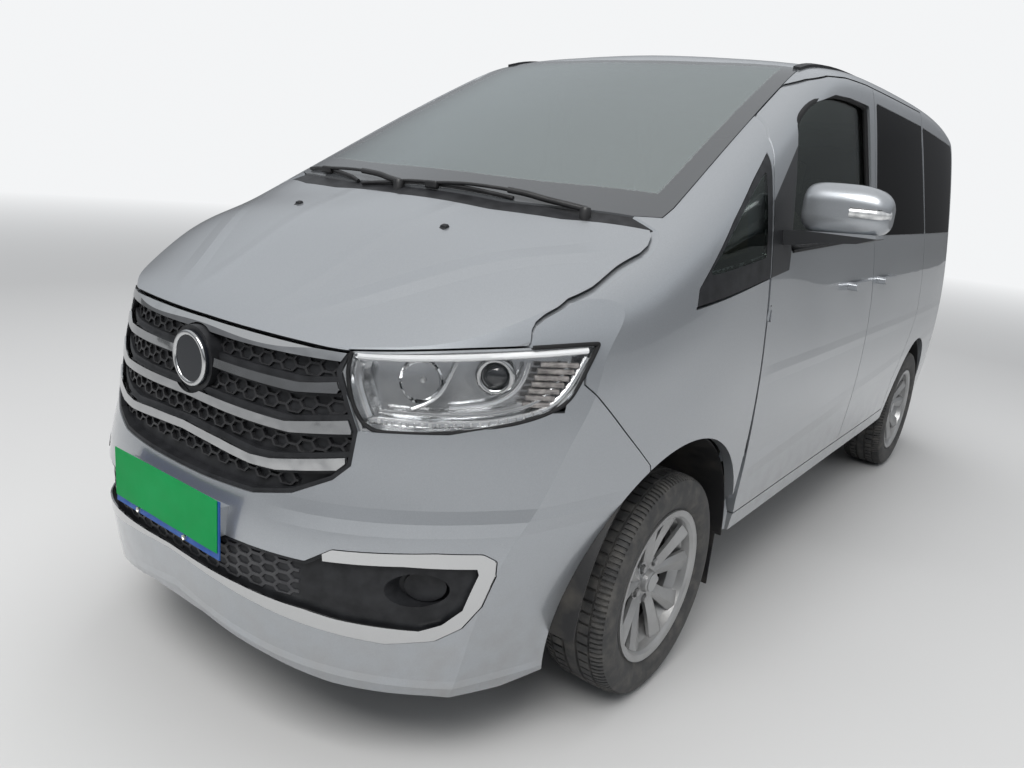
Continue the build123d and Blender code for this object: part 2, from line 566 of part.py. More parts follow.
with BuildPart() as tailgate_glass:
    add(pane_shell)
    add(gate_top, mode=Mode.INTERSECT)
    add(gate_pane_cut, mode=Mode.INTERSECT)

# ---------------------------------------------------------------- tail lamps and rear bumper
with BuildPart() as tail_lamps:
    add(skin_shell)
    add(front_cut(tail_lamp_line, 0, 0, tail_y - 258, 2600), mode=Mode.INTERSECT)
    mirror(about=Plane.YZ)
with BuildPart() as rear_bumper:
    add(skin_shell)
    add(side_cut(rear_bumper_line, 0, 0, -1000, 1000), mode=Mode.INTERSECT)
    add(side_cut([(ra, 200), (3000, 200), (3000, 300), (ra, 300)], 0, 0, -1000, 1000), mode=Mode.SUBTRACT)
    add(front_cut(gate_line, half, 0, 1700, 2600), mode=Mode.SUBTRACT)
    add(rear_arch, mode=Mode.SUBTRACT)
    add(other_side(rear_arch), mode=Mode.SUBTRACT)

# ---------------------------------------------------------------- side glass
with BuildPart() as privacy_glass:
    add(pane_shell)
    add(side_cut(slide_pane, 0, 12) + side_cut(rear_pane, 0, 12), mode=Mode.INTERSECT)
    mirror(about=Plane.YZ)
with BuildPart() as quarter_glass:
    add(pane_shell)
    add(side_cut(quarter_pane, 0, 6), mode=Mode.INTERSECT)
    mirror(about=Plane.YZ)
with BuildPart() as quarter_trim:
    add(pane_shell)
    add(side_cut(quarter_line), mode=Mode.INTERSECT)
    add(side_cut(quarter_pane, 0.5, 6), mode=Mode.SUBTRACT)
    mirror(about=Plane.YZ)

# ---------------------------------------------------------------- arch liners
with BuildPart() as arch_liners:
    for y, r, x_in in ((fa, arch_r, 470), (ra, rear_arch_r, 600)):
        add(rod(x_in, 826, y, wheel_z, r - 1) - rod(x_in + liner_t, 830, y, wheel_z, r - 1 - liner_t)
            - block(0, 1000, y - 500, y + 500, -400, 330))
        add(block(640, 806, y + r - 7, y + r - 1.5, 150, 336))
    add(block(590, 620, ra - 90, ra + 90, 0, wheel_z + 70), mode=Mode.SUBTRACT)
    add(block(460, 490, fa - 110, fa + 110, 0, wheel_z + 90), mode=Mode.SUBTRACT)
    mirror(about=Plane.YZ)

# ---------------------------------------------------------------- floor, bulkhead and inner arches
floor_top = 405.0
floor_t = 45.0
with BuildPart() as floor_pan:
    add(under_wall)
    add(block(-900, 900, fa + 330, tail_y - 130, floor_top - floor_t, floor_top)
        + block(-900, 900, fa + 330, fa + 350, floor_top - floor_t, 1100), mode=Mode.INTERSECT)
    add(front_arch, mode=Mode.SUBTRACT)
    add(other_side(front_arch), mode=Mode.SUBTRACT)
    add(rear_arch, mode=Mode.SUBTRACT)
    add(other_side(rear_arch), mode=Mode.SUBTRACT)

# ---------------------------------------------------------------- engine and front frame
engine_half = 290.0
with BuildPart() as engine_block:
    add(block(-engine_half, engine_half, fa - 560, fa + 210, 345 + seat_gap, 960))
rail_x = 400.0
with BuildPart() as front_subframe:
    for x in (-rail_x, rail_x):
        add(block(x - 30, x + 30, nose_y + 230, fa + 329.7, 330, 400))
    add(block(-rail_x - 30, rail_x + 30, nose_y + 230, nose_y + 280, 400, 480))
    add(block(-rail_x, rail_x, fa - 60, fa + 60, 225, 345))
    for side in (-1, 1):
        add(block(min(side * rail_x, side * (kingpin_x - 20)), max(side * rail_x, side * (kingpin_x - 20)), fa - 30, fa + 30, 215, 245))
        add(post(side * kingpin_x, fa, 215, 245, 26))

# ---------------------------------------------------------------- knuckles, axles, wheels
hub_face = half_track + 40.0      # where the rim bolts on
with BuildPart() as knuckle_left:
    add(post(kingpin_x, fa, 245 + seat_gap, 300, 24))
    add(block(kingpin_x - 22, kingpin_x + 22, fa - 35, fa + 35, 285, 400))
    add(rod(kingpin_x, half_track + 30, fa, wheel_z, spindle_r))
    add(rod(kingpin_x + 10, kingpin_x + 30, fa, wheel_z, 48))

disc_in = half_track - 18.0
disc_t = 24.0


def spoke(angle, lean):
    """One blade from the hub out to the rim, with a ridge along it."""
    with BuildPart() as blade:
        for r, w, x, turn in ((40, 34, hub_face - 2, 0.35), (120, 44, hub_face + 14, 0.8), (bead_r - 7, 66, half_track + rim_w / 2 - 22, 1.0)):
            a = math.radians(angle + lean * turn)
            u, v = math.cos(a), math.sin(a)
            with BuildSketch(Plane(origin=(x, r * u, r * v), x_dir=(0, -v, u), z_dir=(0, u, v))):
                Polygon((-w / 2, -12), (w / 2, -12), (w / 2, -1), (math.copysign(w * 0.16, -lean), 9), (-w / 2, -1), align=None)
        loft(ruled=True)
    return blade.part


lug_r = 10.5
with BuildPart() as rim:
    with BuildSketch(Plane.XY):
        with BuildLine():
            x0, x1 = half_track - rim_w / 2, half_track + rim_w / 2
            Polyline((x0, rim_r - 4), (x0 + 2, rim_r), (x0 + 9, rim_r), (x0 + 9, bead_r), (x0 + 40, bead_r), (x0 + 60, bead_r - 22), (x1 - 62, bead_r - 22),
                     (x1 - 36, bead_r - 4), (x1 - 13, bead_r), (x1 - 9, bead_r), (x1 - 9, rim_r), (x1 - 1, rim_r), (x1, rim_r - 4), (x1 - 4, bead_r - 2), (x1 - 12, bead_r - 9),
                     (x1 - 36, bead_r - 13), (x1 - 60, bead_r - 30), (x0 + 60, bead_r - 30), (x0 + 38, bead_r - 9), (x0 + 4, bead_r - 8), close=True)
        make_face()
    revolve(axis=Axis.X)
    with BuildSketch(Plane.XY):
        with BuildLine():
            Polyline((hub_face - 22, spindle_r + seat_gap), (hub_face - 22, hub_r), (hub_face + 2, hub_r), (hub_face + 6, hub_r - 4), (hub_face + 6, 34), (hub_face + 20, 31),
                     (hub_face + 24, 26), (hub_face + 24, 0), (half_track + 30 + seat_gap, 0), (half_track + 30 + seat_gap, spindle_r + seat_gap), close=True)
        make_face()
    revolve(axis=Axis.X)
    for k in range(5):
        for lean in (-17, 17):
            add(spoke(90 + 72 * k, lean))
    with BuildSketch(Plane.YZ.offset(hub_face)):
        with PolarLocations(lug_pcd / 2, 5, start_angle=54):
            Circle(15)
    extrude(amount=40, mode=Mode.SUBTRACT)
    with BuildSketch(Plane.YZ.offset(hub_face - 2)):
        with PolarLocations(lug_pcd / 2, 5, start_angle=54):
            RegularPolygon(lug_r, 6)
    extrude(amount=16)
    with BuildSketch(Plane.YZ.offset(disc_in)):
        Circle(disc_r)
        Circle(spindle_r + seat_gap, mode=Mode.SUBTRACT)
    extrude(amount=disc_t)
    with BuildSketch(Plane.YZ.offset(disc_in + disc_t - 1)):
        Circle(hub_r - 4)
        Circle(spindle_r + seat_gap, mode=Mode.SUBTRACT)
    extrude(amount=hub_face - disc_in - disc_t)
    add(rod(half_track - 40, half_track + 30 + seat_gap, 0, 0, spindle_r + seat_gap), mode=Mode.SUBTRACT)


with BuildPart() as tyre_blank:
    with BuildSketch(Plane.XY):
        with BuildLine():
            a, b = half_track - tyre_w / 2, half_track + tyre_w / 2
            i, o = half_track - rim_w / 2 + 9.5, half_track + rim_w / 2 - 9.5
            Polyline((i, bead_r + 0.4), (i, rim_r + 2), (a + 4, bead_r + 40), (a, tyre_r - 62), (a + 4, tyre_r - 36), (a + 12, tyre_r - 14), (a + 26, tyre_r - 3),
                     (half_track - 40, tyre_r), (half_track + 40, tyre_r), (b - 26, tyre_r - 3), (b - 12, tyre_r - 14), (b - 4, tyre_r - 36), (b, tyre_r - 62),
                     (b - 4, bead_r + 40), (o, rim_r + 2), (o, bead_r + 0.4), close=True)
        make_face()
    revolve(axis=Axis.X)

with BuildPart() as rear_axle:
    add(rod(-half_track - 30, half_track + 30, ra, wheel_z, spindle_r))
    add(rod(-half_track + 90, half_track - 90, ra, wheel_z, 38))
    for side in (-1, 1):
        add(block(side * 520 - 30, side * 520 + 30, ra - 500, ra + 40, 300, 340))
        add(block(side * 520 - 30, side * 520 + 30, ra - 500, ra - 440, 300, floor_top - floor_t - seat_gap))
        add(rod(min(side * (half_track - 60), side * (half_track - 30)), max(side * (half_track - 60), side * (half_track - 30)), ra, wheel_z, 60))

# ---------------------------------------------------------------- cabin
with BuildPart() as dashboard:
    with BuildSketch(Plane.YZ.offset(-690)):
        with BuildLine():
            Polyline((fa + 350.3, 700), (fa + 350.3, 1110), (fa - 5, 1180), (fa - 5, 1222), (fa + 220, 1205), (fa + 500, 1160), (fa + 640, 1125), (fa + 700, 1065),
                     (fa + 690, 960), (fa + 600, 900), (fa + 560, 700), close=True)
        make_face()
    extrude(amount=1380)
wheel_tilt = 28.0
with BuildPart() as steering_wheel:
    with Locations(Location((370, fa + 770, 1060), (wheel_tilt - 90, 0, 0))):
        Torus(185, 15)
        Cylinder(55, 40)
        Box(360, 36, 16)
    with Locations(Location((370, fa + 770, 1060), (wheel_tilt - 90, 0, 0))):
        with Locations((0, 0, -100)):
            Cylinder(24, 200)
    add(dashboard.part, mode=Mode.SUBTRACT)


def chair(x0, x1, y, base, height):
    with BuildPart() as seat:
        with BuildSketch(Plane.YZ.offset(x0)) as back:
            with BuildLine():
                Polyline((y, base + 160), (y - 10, base + 330), (y + 30, base + 375), (y + 400, base + 350), (y + 560, base + height), (y + 660, base + height),
                         (y + 580, base + 330), (y + 540, base + 160), close=True)
            make_face()
            fillet(back.vertices(), 22)
        extrude(amount=x1 - x0)
        add(block(x0 + 60, x1 - 60, y + 70, y + 480, base, base + 170))
        add(block((x0 + x1) / 2 - 130, (x0 + x1) / 2 + 130, y + 590, y + 690, base + height + 10, base + height + 190))
        add(block((x0 + x1) / 2 - 60, (x0 + x1) / 2 + 60, y + 610, y + 640, base + height - 20, base + height + 20))
    return seat.part


with BuildPart() as front_seats:
    add(chair(130, 630, fa + 930, floor_top, 960))
    mirror(about=Plane.YZ)
with BuildPart() as rear_seats:
    for y in (fa + 1810, fa + 2640):
        for x0, x1 in ((-640, -60), (60, 640)):
            add(chair(x0 if y < ra - 200 else x0 * 0.85, x1 if y < ra - 200 else x1 * 0.85, y, floor_top, 900))

# ---------------------------------------------------------------- roof ditch strips
with BuildPart() as roof_strips:
    with BuildSketch(Plane.XZ.offset(-(fa + 965))):
        with Locations((ditch_x + 2, 1840)):
            Rectangle(26, 120)
    extrude(amount=-(tail_y - 420 - fa - 965))
    add(top_cut([(0, -3000), (1000, -3000), (1000, 3000), (0, 3000)]) & outer.moved(Location((0, 0, 9))), mode=Mode.INTERSECT)
    add(outer, mode=Mode.SUBTRACT)
    mirror(about=Plane.YZ)

# ---------------------------------------------------------------- mirrors
mirror_y = fa + 545.0
cap_low, cap_high = 1304.0, 1450.0
with BuildPart() as mirror_left:
    for x, width, height, lift in ((868, 70, 92, 0), (880, 104, 124, 0), (920, 124, 144, 0), (990, 128, 146, 0), (1050, 122, 138, -1), (1090, 100, 112, -4), (1110, 54, 64, -8)):
        with BuildSketch(Plane.YZ.offset(x)):
            with Locations((mirror_y, (cap_low + cap_high) / 2 + lift)):
                RectangleRounded(width, height, min(width, height) * 0.42)
    loft()
    add(block(800, 1200, mirror_y + 50, mirror_y + 200, 1200, 1500), mode=Mode.SUBTRACT)
    with BuildSketch(Plane.XZ.offset(-(mirror_y + 42))):
        with Locations((990, (cap_low + cap_high) / 2)):
            RectangleRounded(196, 118, 40)
    extrude(amount=-20, mode=Mode.SUBTRACT)
    with BuildSketch(Plane.XZ.offset(-(mirror_y - 48))):
        with BuildLine():
            Polyline((815, 1258), (815, 1300), (872, 1306), (1086, 1318), (1092, 1306), (1040, 1288), (930, 1276), (868, 1262), close=True)
        make_face()
    extrude(amount=-84)
    add(outer.moved(Location((seat_gap, 0, 0))), mode=Mode.SUBTRACT)

# ---------------------------------------------------------------- wipers: arm and blade of each lie along the glass
blade_w = 12.0
wiper_runs = [((-215, fa - 212), (330, fa - 176), (60, fa - 203), (540, fa - 146)), ((-640, fa - 60), (-250, fa - 196), (-470, fa - 130), (-60, fa - 214))]


screen_foot = outer & block(-720, 720, fa - 280, fa + 60, 1200, 1460)


def strip(a, b, width, low, high):
    """Straight strip from a to b in plan, between two heights over the glass."""
    dx, dy = b[0] - a[0], b[1] - a[1]
    n = math.hypot(dx, dy)
    ox, oy = -dy / n * width / 2, dx / n * width / 2
    plan = top_cut([(a[0] + ox, a[1] + oy), (b[0] + ox, b[1] + oy), (b[0] - ox, b[1] - oy), (a[0] - ox, a[1] - oy)])
    return (plan & screen_foot.moved(Location((0, 0, high)))) - screen_foot.moved(Location((0, 0, low)))


with BuildPart() as wipers:
    for blade_a, blade_b, grip, root in wiper_runs:
        add(strip(blade_a, blade_b, blade_w, seat_gap, 20))
        add(strip(grip, root, 16, 14, 28))
        add(strip((root[0] - 20, root[1]), (root[0] + 20, root[1]), 40, seat_gap, 30))

# ---------------------------------------------------------------- exhaust
with BuildPart() as exhaust:
    with BuildSketch(Plane.XZ.offset(-(fa + 400))):
        with Locations((-300, 240)):
            Circle(28)
    extrude(amount=-(ra + 700 - fa - 400))
    with BuildSketch(Plane.XZ.offset(-(ra + 300))):
        with Locations((-300, 255)):
            Ellipse(120, 75)
    extrude(amount=-360)
    for y in (fa + 700, ra + 180):
        add(block(-310, -290, y, y + 20, 240, floor_top - floor_t - seat_gap))

# ---------------------------------------------------------------- hand-in
pieces = {
    "bonnet": bonnet.part, "front_fender_left": front_fender_left.part, "front_bumper": front_bumper.part,
    "lamp_lenses": lamp_lenses.part, "headlamps": headlamps.part, "grille": grille.part, "grille_bars": grille_bars.part,
    "lower_intake": lower_intake.part, "fog_bezels": fog_bezels.part, "number_plate": number_plate.part, "badge": badge.part,
    "cowl_panel": cowl_panel.part, "windscreen": windscreen.part, "roof_panel": roof_panel.part,
    "front_door_left": front_door_left.part, "door_glass_left": door_glass_left.part,
    "sliding_door_left": sliding_door_left.part, "side_frame_left": side_frame_left.part,
    "tailgate": tailgate.part, "tailgate_glass": tailgate_glass.part, "tail_lamps": tail_lamps.part,
    "rear_bumper": rear_bumper.part, "privacy_glass": privacy_glass.part, "quarter_glass": quarter_glass.part,
    "quarter_trim": quarter_trim.part, "arch_liners": arch_liners.part, "floor_pan": floor_pan.part,
    "engine_block": engine_block.part, "front_subframe": front_subframe.part, "knuckle_left": knuckle_left.part,
    "rear_axle": rear_axle.part, "dashboard": dashboard.part, "steering_wheel": steering_wheel.part,
    "front_seats": front_seats.part, "rear_seats": rear_seats.part, "roof_strips": roof_strips.part,
    "mirror_left": mirror_left.part, "wipers": wipers.part, "exhaust": exhaust.part,
}
for name in ("front_fender", "front_door", "door_glass", "sliding_door", "side_frame", "knuckle", "mirror"):
    pieces[name + "_right"] = other_side(pieces[name + "_left"])
for corner, y, side in (("front_left", fa, 1), ("front_right", fa, -1), ("rear_left", ra, 1), ("rear_right", ra, -1)):
    wheel = rim.part.moved(Location((0, y, wheel_z)))
    tyre = tyre_blank.part.moved(Location((0, y, wheel_z)))
    pieces["wheel_" + corner] = wheel if side > 0 else other_side(wheel)
    pieces["tyre_" + corner] = tyre if side > 0 else other_side(tyre)
for name, piece in pieces.items():
    piece.label = name
    export_step(piece, "parts/" + name + ".step")
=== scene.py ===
"""A silver minivan on a pale studio floor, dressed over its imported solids. Lengths are in metres."""
import math

import bpy
from mathutils import Matrix, Vector


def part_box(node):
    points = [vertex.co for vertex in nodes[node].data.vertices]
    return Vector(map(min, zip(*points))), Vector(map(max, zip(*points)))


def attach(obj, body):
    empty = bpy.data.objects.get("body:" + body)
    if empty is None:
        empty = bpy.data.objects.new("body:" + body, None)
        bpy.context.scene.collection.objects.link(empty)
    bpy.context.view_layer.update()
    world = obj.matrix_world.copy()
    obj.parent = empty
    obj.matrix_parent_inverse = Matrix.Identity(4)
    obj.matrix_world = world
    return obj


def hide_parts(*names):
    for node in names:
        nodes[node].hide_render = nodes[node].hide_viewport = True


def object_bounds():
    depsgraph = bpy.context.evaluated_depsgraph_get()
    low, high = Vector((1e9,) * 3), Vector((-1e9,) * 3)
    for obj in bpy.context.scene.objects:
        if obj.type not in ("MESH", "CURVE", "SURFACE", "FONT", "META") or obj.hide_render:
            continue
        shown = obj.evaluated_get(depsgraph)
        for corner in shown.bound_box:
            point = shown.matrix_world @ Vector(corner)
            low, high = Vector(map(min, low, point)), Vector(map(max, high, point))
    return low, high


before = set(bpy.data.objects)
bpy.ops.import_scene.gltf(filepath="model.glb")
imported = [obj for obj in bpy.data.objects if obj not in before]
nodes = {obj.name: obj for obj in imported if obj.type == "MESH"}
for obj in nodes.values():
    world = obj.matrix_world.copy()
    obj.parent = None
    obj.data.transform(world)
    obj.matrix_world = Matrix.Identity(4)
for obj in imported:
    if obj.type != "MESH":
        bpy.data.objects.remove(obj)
solid_low, solid_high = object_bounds()
bpy.ops.object.select_all(action="DESELECT")


# ------------------------------------------------------------------ floor, light and camera
# A plain pale floor that runs out into the same pale surround, one big soft
# lamp over the nose, one over the roof and a weaker one on the driver's side.
class Wire:
    """One output in a material's nodes. Arithmetic on it adds Math nodes."""

    def __init__(self, tree, socket=None):
        self.tree, self.socket = tree, socket

    def node(self, kind, settings=None, sockets=None, out=0):
        """Adds a node, with its settings first and then the values or links of its sockets."""
        made = self.tree.nodes.new("ShaderNode" + kind)
        for name, value in (settings or {}).items():
            if name == "stops":
                ramp = made.color_ramp.elements
                while len(ramp) < len(value):
                    ramp.new(0.5)
                for stop, (place, shade) in zip(ramp, value):
                    stop.position, stop.color = place, (*shade, 1)
            else:
                setattr(made, name, value)
        for name, value in (sockets or {}).items():
            if isinstance(value, Wire):
                self.tree.links.new(value.socket, made.inputs[name])
            elif isinstance(value, tuple) and len(value) == 3 and len(made.inputs[name].default_value) == 4:
                made.inputs[name].default_value = (*value, 1)
            else:
                made.inputs[name].default_value = value
        return Wire(self.tree, made.outputs[out])

    def math(self, operation, a, b=0.0):
        return self.node("Math", {"operation": operation}, {0: a, 1: b})

    def __add__(self, other):
        return self.math("ADD", self, other)

    def __sub__(self, other):
        return self.math("SUBTRACT", self, other)

    def __mul__(self, other):
        return self.math("MULTIPLY", self, other)

    def __pow__(self, other):
        return self.math("POWER", self, other)

    __radd__ = __add__
    __rmul__ = __mul__

    def __rsub__(self, other):
        return self.math("SUBTRACT", other, self)

    def __abs__(self):
        return self.math("ABSOLUTE", self)

    def most(self, other):
        return self.math("MAXIMUM", self, other)

    def least(self, other):
        return self.math("MINIMUM", self, other)

    def over(self, low, high):
        """0 below low, 1 above high, straight between."""
        return self.node("MapRange", {"clamp": True}, {"Value": self, "From Min": low, "From Max": high})

    def tint(self, first, second):
        """Colour first where this is 0, second where it is 1."""
        return self.node("Mix", {"data_type": "RGBA"}, {0: self, 6: first, 7: second}, out=2)

    def lift(self, strength, distance):
        """A normal raised by this height."""
        return self.node("Bump", None, {"Height": self, "Strength": strength, "Distance": distance})


def finish(name, colour, roughness, metallic=0.0, **shader):
    """A new material: the material, its one Principled shader and a wire on Object coordinates."""
    material = bpy.data.materials.new(name)
    material.use_nodes = True
    tree = material.node_tree
    main = tree.nodes["Principled BSDF"]
    for socket, value in {"Base Color": colour, "Roughness": roughness, "Metallic": metallic, **shader}.items():
        main.inputs[socket].default_value = (*value, 1) if isinstance(value, tuple) else value
    return material, main, Wire(tree).node("TexCoord", out=3)


surround = (0.90, 0.91, 0.92)
surround_in_mirrors = 0.12


def backdrop_share(place):
    """How far a ray sees the pale surround: wholly when straight or through glass, partly when mirrored."""
    kinds = ("Camera", "Transmission", "Glossy")
    straight, through, mirrored = (place.node("LightPath", out=f"Is {kind} Ray") for kind in kinds)
    return straight.most(through).most(mirrored * surround_in_mirrors)


floor_radius, fades_from, fades_to = 40, 6.0, 16.0
bpy.ops.mesh.primitive_circle_add(vertices=96, radius=floor_radius, fill_type="NGON", location=(0, 0, 0))
floor = bpy.context.object
floor.name = "studio_floor"
floor_paint, main, place = finish("floor_paint_pale", (0.56, 0.56, 0.56), 0.85)
tree = floor_paint.node_tree
distance = place.node("VectorMath", {"operation": "LENGTH"}, {0: place}, out=1)
far = distance.over(fades_from, fades_to) * backdrop_share(place)
glow = place.node("Emission", None, {"Color": surround, "Strength": 1.0})
seen = place.node("MixShader", None, {0: far, 1: Wire(tree, main.outputs[0]), 2: glow})
tree.links.new(seen.socket, tree.nodes["Material Output"].inputs["Surface"])
floor.data.materials.append(floor_paint)

world = bpy.data.worlds.new("studio_air")
bpy.context.scene.world = world
world.use_nodes = True
tree = world.node_tree
air = Wire(tree)
way = air.node("TexCoord", out=0)
height = air.node("SeparateXYZ", None, {0: way}, out=2)
sky = height.node("ValToRGB", {"stops": [(0.0, (0.07, 0.075, 0.08)), (0.14, (0.18, 0.19, 0.21)),
                                         (0.45, (0.80, 0.84, 0.88)), (1.0, (1.0, 1.0, 1.0))]}, {0: height})
soft = air.node("Background", None, {"Color": sky, "Strength": 0.68})
plain = air.node("Background", None, {"Color": surround, "Strength": 1.0})
whole = air.node("MixShader", None, {0: backdrop_share(air), 1: soft, 2: plain})
tree.links.new(whole.socket, tree.nodes["World Output"].inputs["Surface"])


def soft_lamp(name, place, aim, size, power, shade=(1, 1, 1), mirrored=False):
    """A flat soft lamp that shines from its place to its aim, and shows in polished surfaces if mirrored."""
    light = bpy.data.lights.new(name, "AREA")
    light.shape, light.size, light.size_y = "RECTANGLE", size[0], size[1]
    light.energy, light.color = power, shade
    lamp = bpy.data.objects.new(name, light)
    bpy.context.scene.collection.objects.link(lamp)
    lamp.visible_glossy = mirrored
    lamp.location = place
    lamp.rotation_euler = (Vector(aim) - Vector(place)).to_track_quat("-Z", "Y").to_euler()


soft_lamp("lamp_over_nose", place=(1.5, -5.5, 6.0), aim=(0, -0.8, 0.8), size=(5.0, 3.0), power=400,
          shade=(1.0, 0.99, 0.97), mirrored=True)
soft_lamp("lamp_over_roof", place=(-1.0, 1.5, 6.5), aim=(0, 0.3, 1.0), size=(4.0, 6.0), power=220)
soft_lamp("lamp_driver_side", place=(7.0, 1.0, 3.2), aim=(0.5, 0.0, 0.9), size=(5.0, 2.5), power=12)

camera_place = (1.66346, -3.27311, 1.41235)
yaw, pitch, roll = (math.radians(angle) for angle in (36.034, 15.091, 5.612))
camera_data = bpy.data.cameras.new("camera")
camera = bpy.data.objects.new("camera", camera_data)
bpy.context.scene.collection.objects.link(camera)
bpy.context.scene.camera = camera
camera_data.sensor_width = 36.0
camera_data.lens = 28.49
camera_data.clip_end = 200
ahead = Vector((-math.sin(yaw) * math.cos(pitch), math.cos(yaw) * math.cos(pitch), -math.sin(pitch)))
level = Vector((math.cos(yaw), math.sin(yaw), 0))
up = level.cross(ahead)
right = level * math.cos(roll) + up * math.sin(roll)
upward = up * math.cos(roll) - level * math.sin(roll)
turn = Matrix((right, upward, -ahead)).transposed().to_4x4()
camera.matrix_world = Matrix.Translation(camera_place) @ turn
bpy.context.scene.view_settings.view_transform = "Standard"


# ------------------------------------------------------------------ floor pan, front frame and engine
# Pressed floor under black sealing paint, a welded frame that carries the
# engine, one cast engine block bolted between its rails, a steel exhaust, and
# moulded liners clipped into the wheel arches.
def feed(main, **sockets):
    """Links wires to the sockets of a shader."""
    for name, wire in sockets.items():
        main.id_data.links.new(wire.socket, main.inputs[name.replace("_", " ")])


def grain(place, scale, detail=2.0, roughness=0.5):
    """Cloudy variation from 0 to 1 at this many spots a metre."""
    return place.node("TexNoise", None, {"Vector": place, "Scale": scale, "Detail": detail, "Roughness": roughness})


def wear(material, *names):
    """Puts a material on whole CAD nodes."""
    for name in names:
        mesh = nodes[name].data
        mesh.materials.clear()
        mesh.materials.append(material)


under_seal, main, place = finish("under_seal", (0.05, 0.05, 0.052), 0.8)
mud = grain(place, 9.0, 6.0, 0.6).over(0.42, 0.70)
feed(main, Base_Color=mud.tint((0.035, 0.035, 0.037), (0.16, 0.14, 0.115)), Roughness=0.62 + mud * 0.3,
     Normal=grain(place, 120.0, 3.0).lift(0.35, 0.002))
wear(under_seal, "floor_pan", "front_subframe", "rear_axle")

cast_iron, main, place = finish("cast_iron_grey", (0.20, 0.20, 0.205), 0.55, 0.8)
rust = grain(place, 14.0, 5.0).over(0.58, 0.86)
feed(main, Base_Color=rust.tint((0.17, 0.17, 0.175), (0.17, 0.12, 0.09)), Roughness=0.45 + rust * 0.4,
     Metallic=0.85 - rust * 0.6, Normal=grain(place, 300.0, 2.0).lift(0.3, 0.001))
wear(cast_iron, "engine_block", "knuckle_left", "knuckle_right")

dull_steel, main, place = finish("exhaust_steel", (0.36, 0.34, 0.32), 0.42, 0.9)
heat = grain(place, 7.0, 4.0).over(0.40, 0.66)
feed(main, Base_Color=heat.tint((0.36, 0.35, 0.34), (0.24, 0.21, 0.185)), Roughness=0.34 + heat * 0.35)
wear(dull_steel, "exhaust")

liner_plastic, main, place = finish("liner_plastic", (0.012, 0.012, 0.013), 0.75)
splash = grain(place, 11.0, 6.0).over(0.50, 0.78)
feed(main, Base_Color=(splash * 0.5).tint((0.010, 0.010, 0.011), (0.10, 0.09, 0.075)),
     Roughness=0.55 + splash * 0.3, Normal=grain(place, 220.0, 2.0).lift(0.25, 0.001))
wear(liner_plastic, "arch_liners")


# ------------------------------------------------------------------ tyres
# Radial road tyres: black rubber with four ribs, side grooves cut across the
# shoulders, and a plain wall with a raised rim guard.
def alone(piece):
    """Makes one piece the only one that operators act on."""
    if bpy.context.object and bpy.context.object.mode != "OBJECT":
        bpy.ops.object.mode_set(mode="OBJECT")
    bpy.ops.object.select_all(action="DESELECT")
    piece.select_set(True)
    bpy.context.view_layer.objects.active = piece


def pick_by(kind):
    """Sets what edit mode selects: VERT, EDGE or FACE."""
    bpy.context.tool_settings.mesh_select_mode = tuple(kind == each for each in ("VERT", "EDGE", "FACE"))


def place_in_mesh(piece):
    """Moves a piece's place, turn and size into its mesh."""
    alone(piece)
    bpy.ops.object.transform_apply(location=True, rotation=True, scale=True)


def own_copy(piece):
    """A copy with its own mesh."""
    copy = piece.copy()
    copy.data = piece.data.copy()
    bpy.context.scene.collection.objects.link(copy)
    return copy


def corners_of(node):
    """A CAD node's lowest and highest corners."""
    return tuple(Vector(corner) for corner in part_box(node))


def settle(piece, name, material, body, smooth=35):
    """Puts a piece's place into its mesh, shades it, paints it and hangs it on its body."""
    place_in_mesh(piece)
    bpy.ops.object.shade_smooth_by_angle(angle=math.radians(smooth))
    piece.name = piece.data.name = name
    piece.data.materials.clear()
    piece.data.materials.append(material)
    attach(piece, body)
    bpy.ops.object.select_all(action="DESELECT")
    return piece


wheel_sides = {"front_left": 1, "front_right": -1, "rear_left": 1, "rear_right": -1}
tyre_low, tyre_high = corners_of("tyre_front_left")
tyre_half = (tyre_high.x - tyre_low.x) / 2
tyre_radius = (tyre_high.z - tyre_low.z) / 2
bead_radius = 0.2055
# Each point is (share of the half width, radius), from the bead out to the tread's middle.
wall_line = [(0.84, bead_radius), (0.835, 0.222), (0.86, 0.228), (0.90, 0.234), (0.955, 0.246), (0.985, 0.258),
             (0.978, 0.262), (1.0, 0.272), (0.985, 0.285), (0.955, 0.296)]
tread_line = [(0.90, 0.3075), (0.84, 0.3130), (0.72, 0.3170), (0.60, 0.3190), (0.585, 0.3125), (0.545, 0.3125),
              (0.53, 0.3194), (0.24, 0.3198), (0.225, 0.3130), (0.165, 0.3130), (0.15, 0.3200)]
inner_seat = [(-0.80, bead_radius + 0.006), (0.80, bead_radius + 0.006)]
half_section = wall_line + tread_line
section = half_section + [(-share, radius) for share, radius in reversed(half_section)] + inner_seat
outline = bpy.data.meshes.new("tyre_outline")
rim_points = [(share * tyre_half, 0, min(radius, tyre_radius)) for share, radius in section]
outline.from_pydata(rim_points, [(k, (k + 1) % len(section)) for k in range(len(section))], [])
tyre = bpy.data.objects.new("tyre", outline)
bpy.context.scene.collection.objects.link(tyre)
alone(tyre)
bpy.ops.object.mode_set(mode="EDIT")
bpy.ops.mesh.select_all(action="SELECT")
tread_steps = 256
bpy.ops.mesh.spin(steps=tread_steps, angle=2 * math.pi, center=(0, 0, 0), axis=(1, 0, 0))
bpy.ops.mesh.select_all(action="SELECT")
bpy.ops.mesh.remove_doubles(threshold=0.0001)
bpy.ops.mesh.normals_make_consistent(inside=False)
bpy.ops.mesh.select_all(action="DESELECT")
bpy.ops.object.mode_set(mode="OBJECT")
pick_by("FACE")
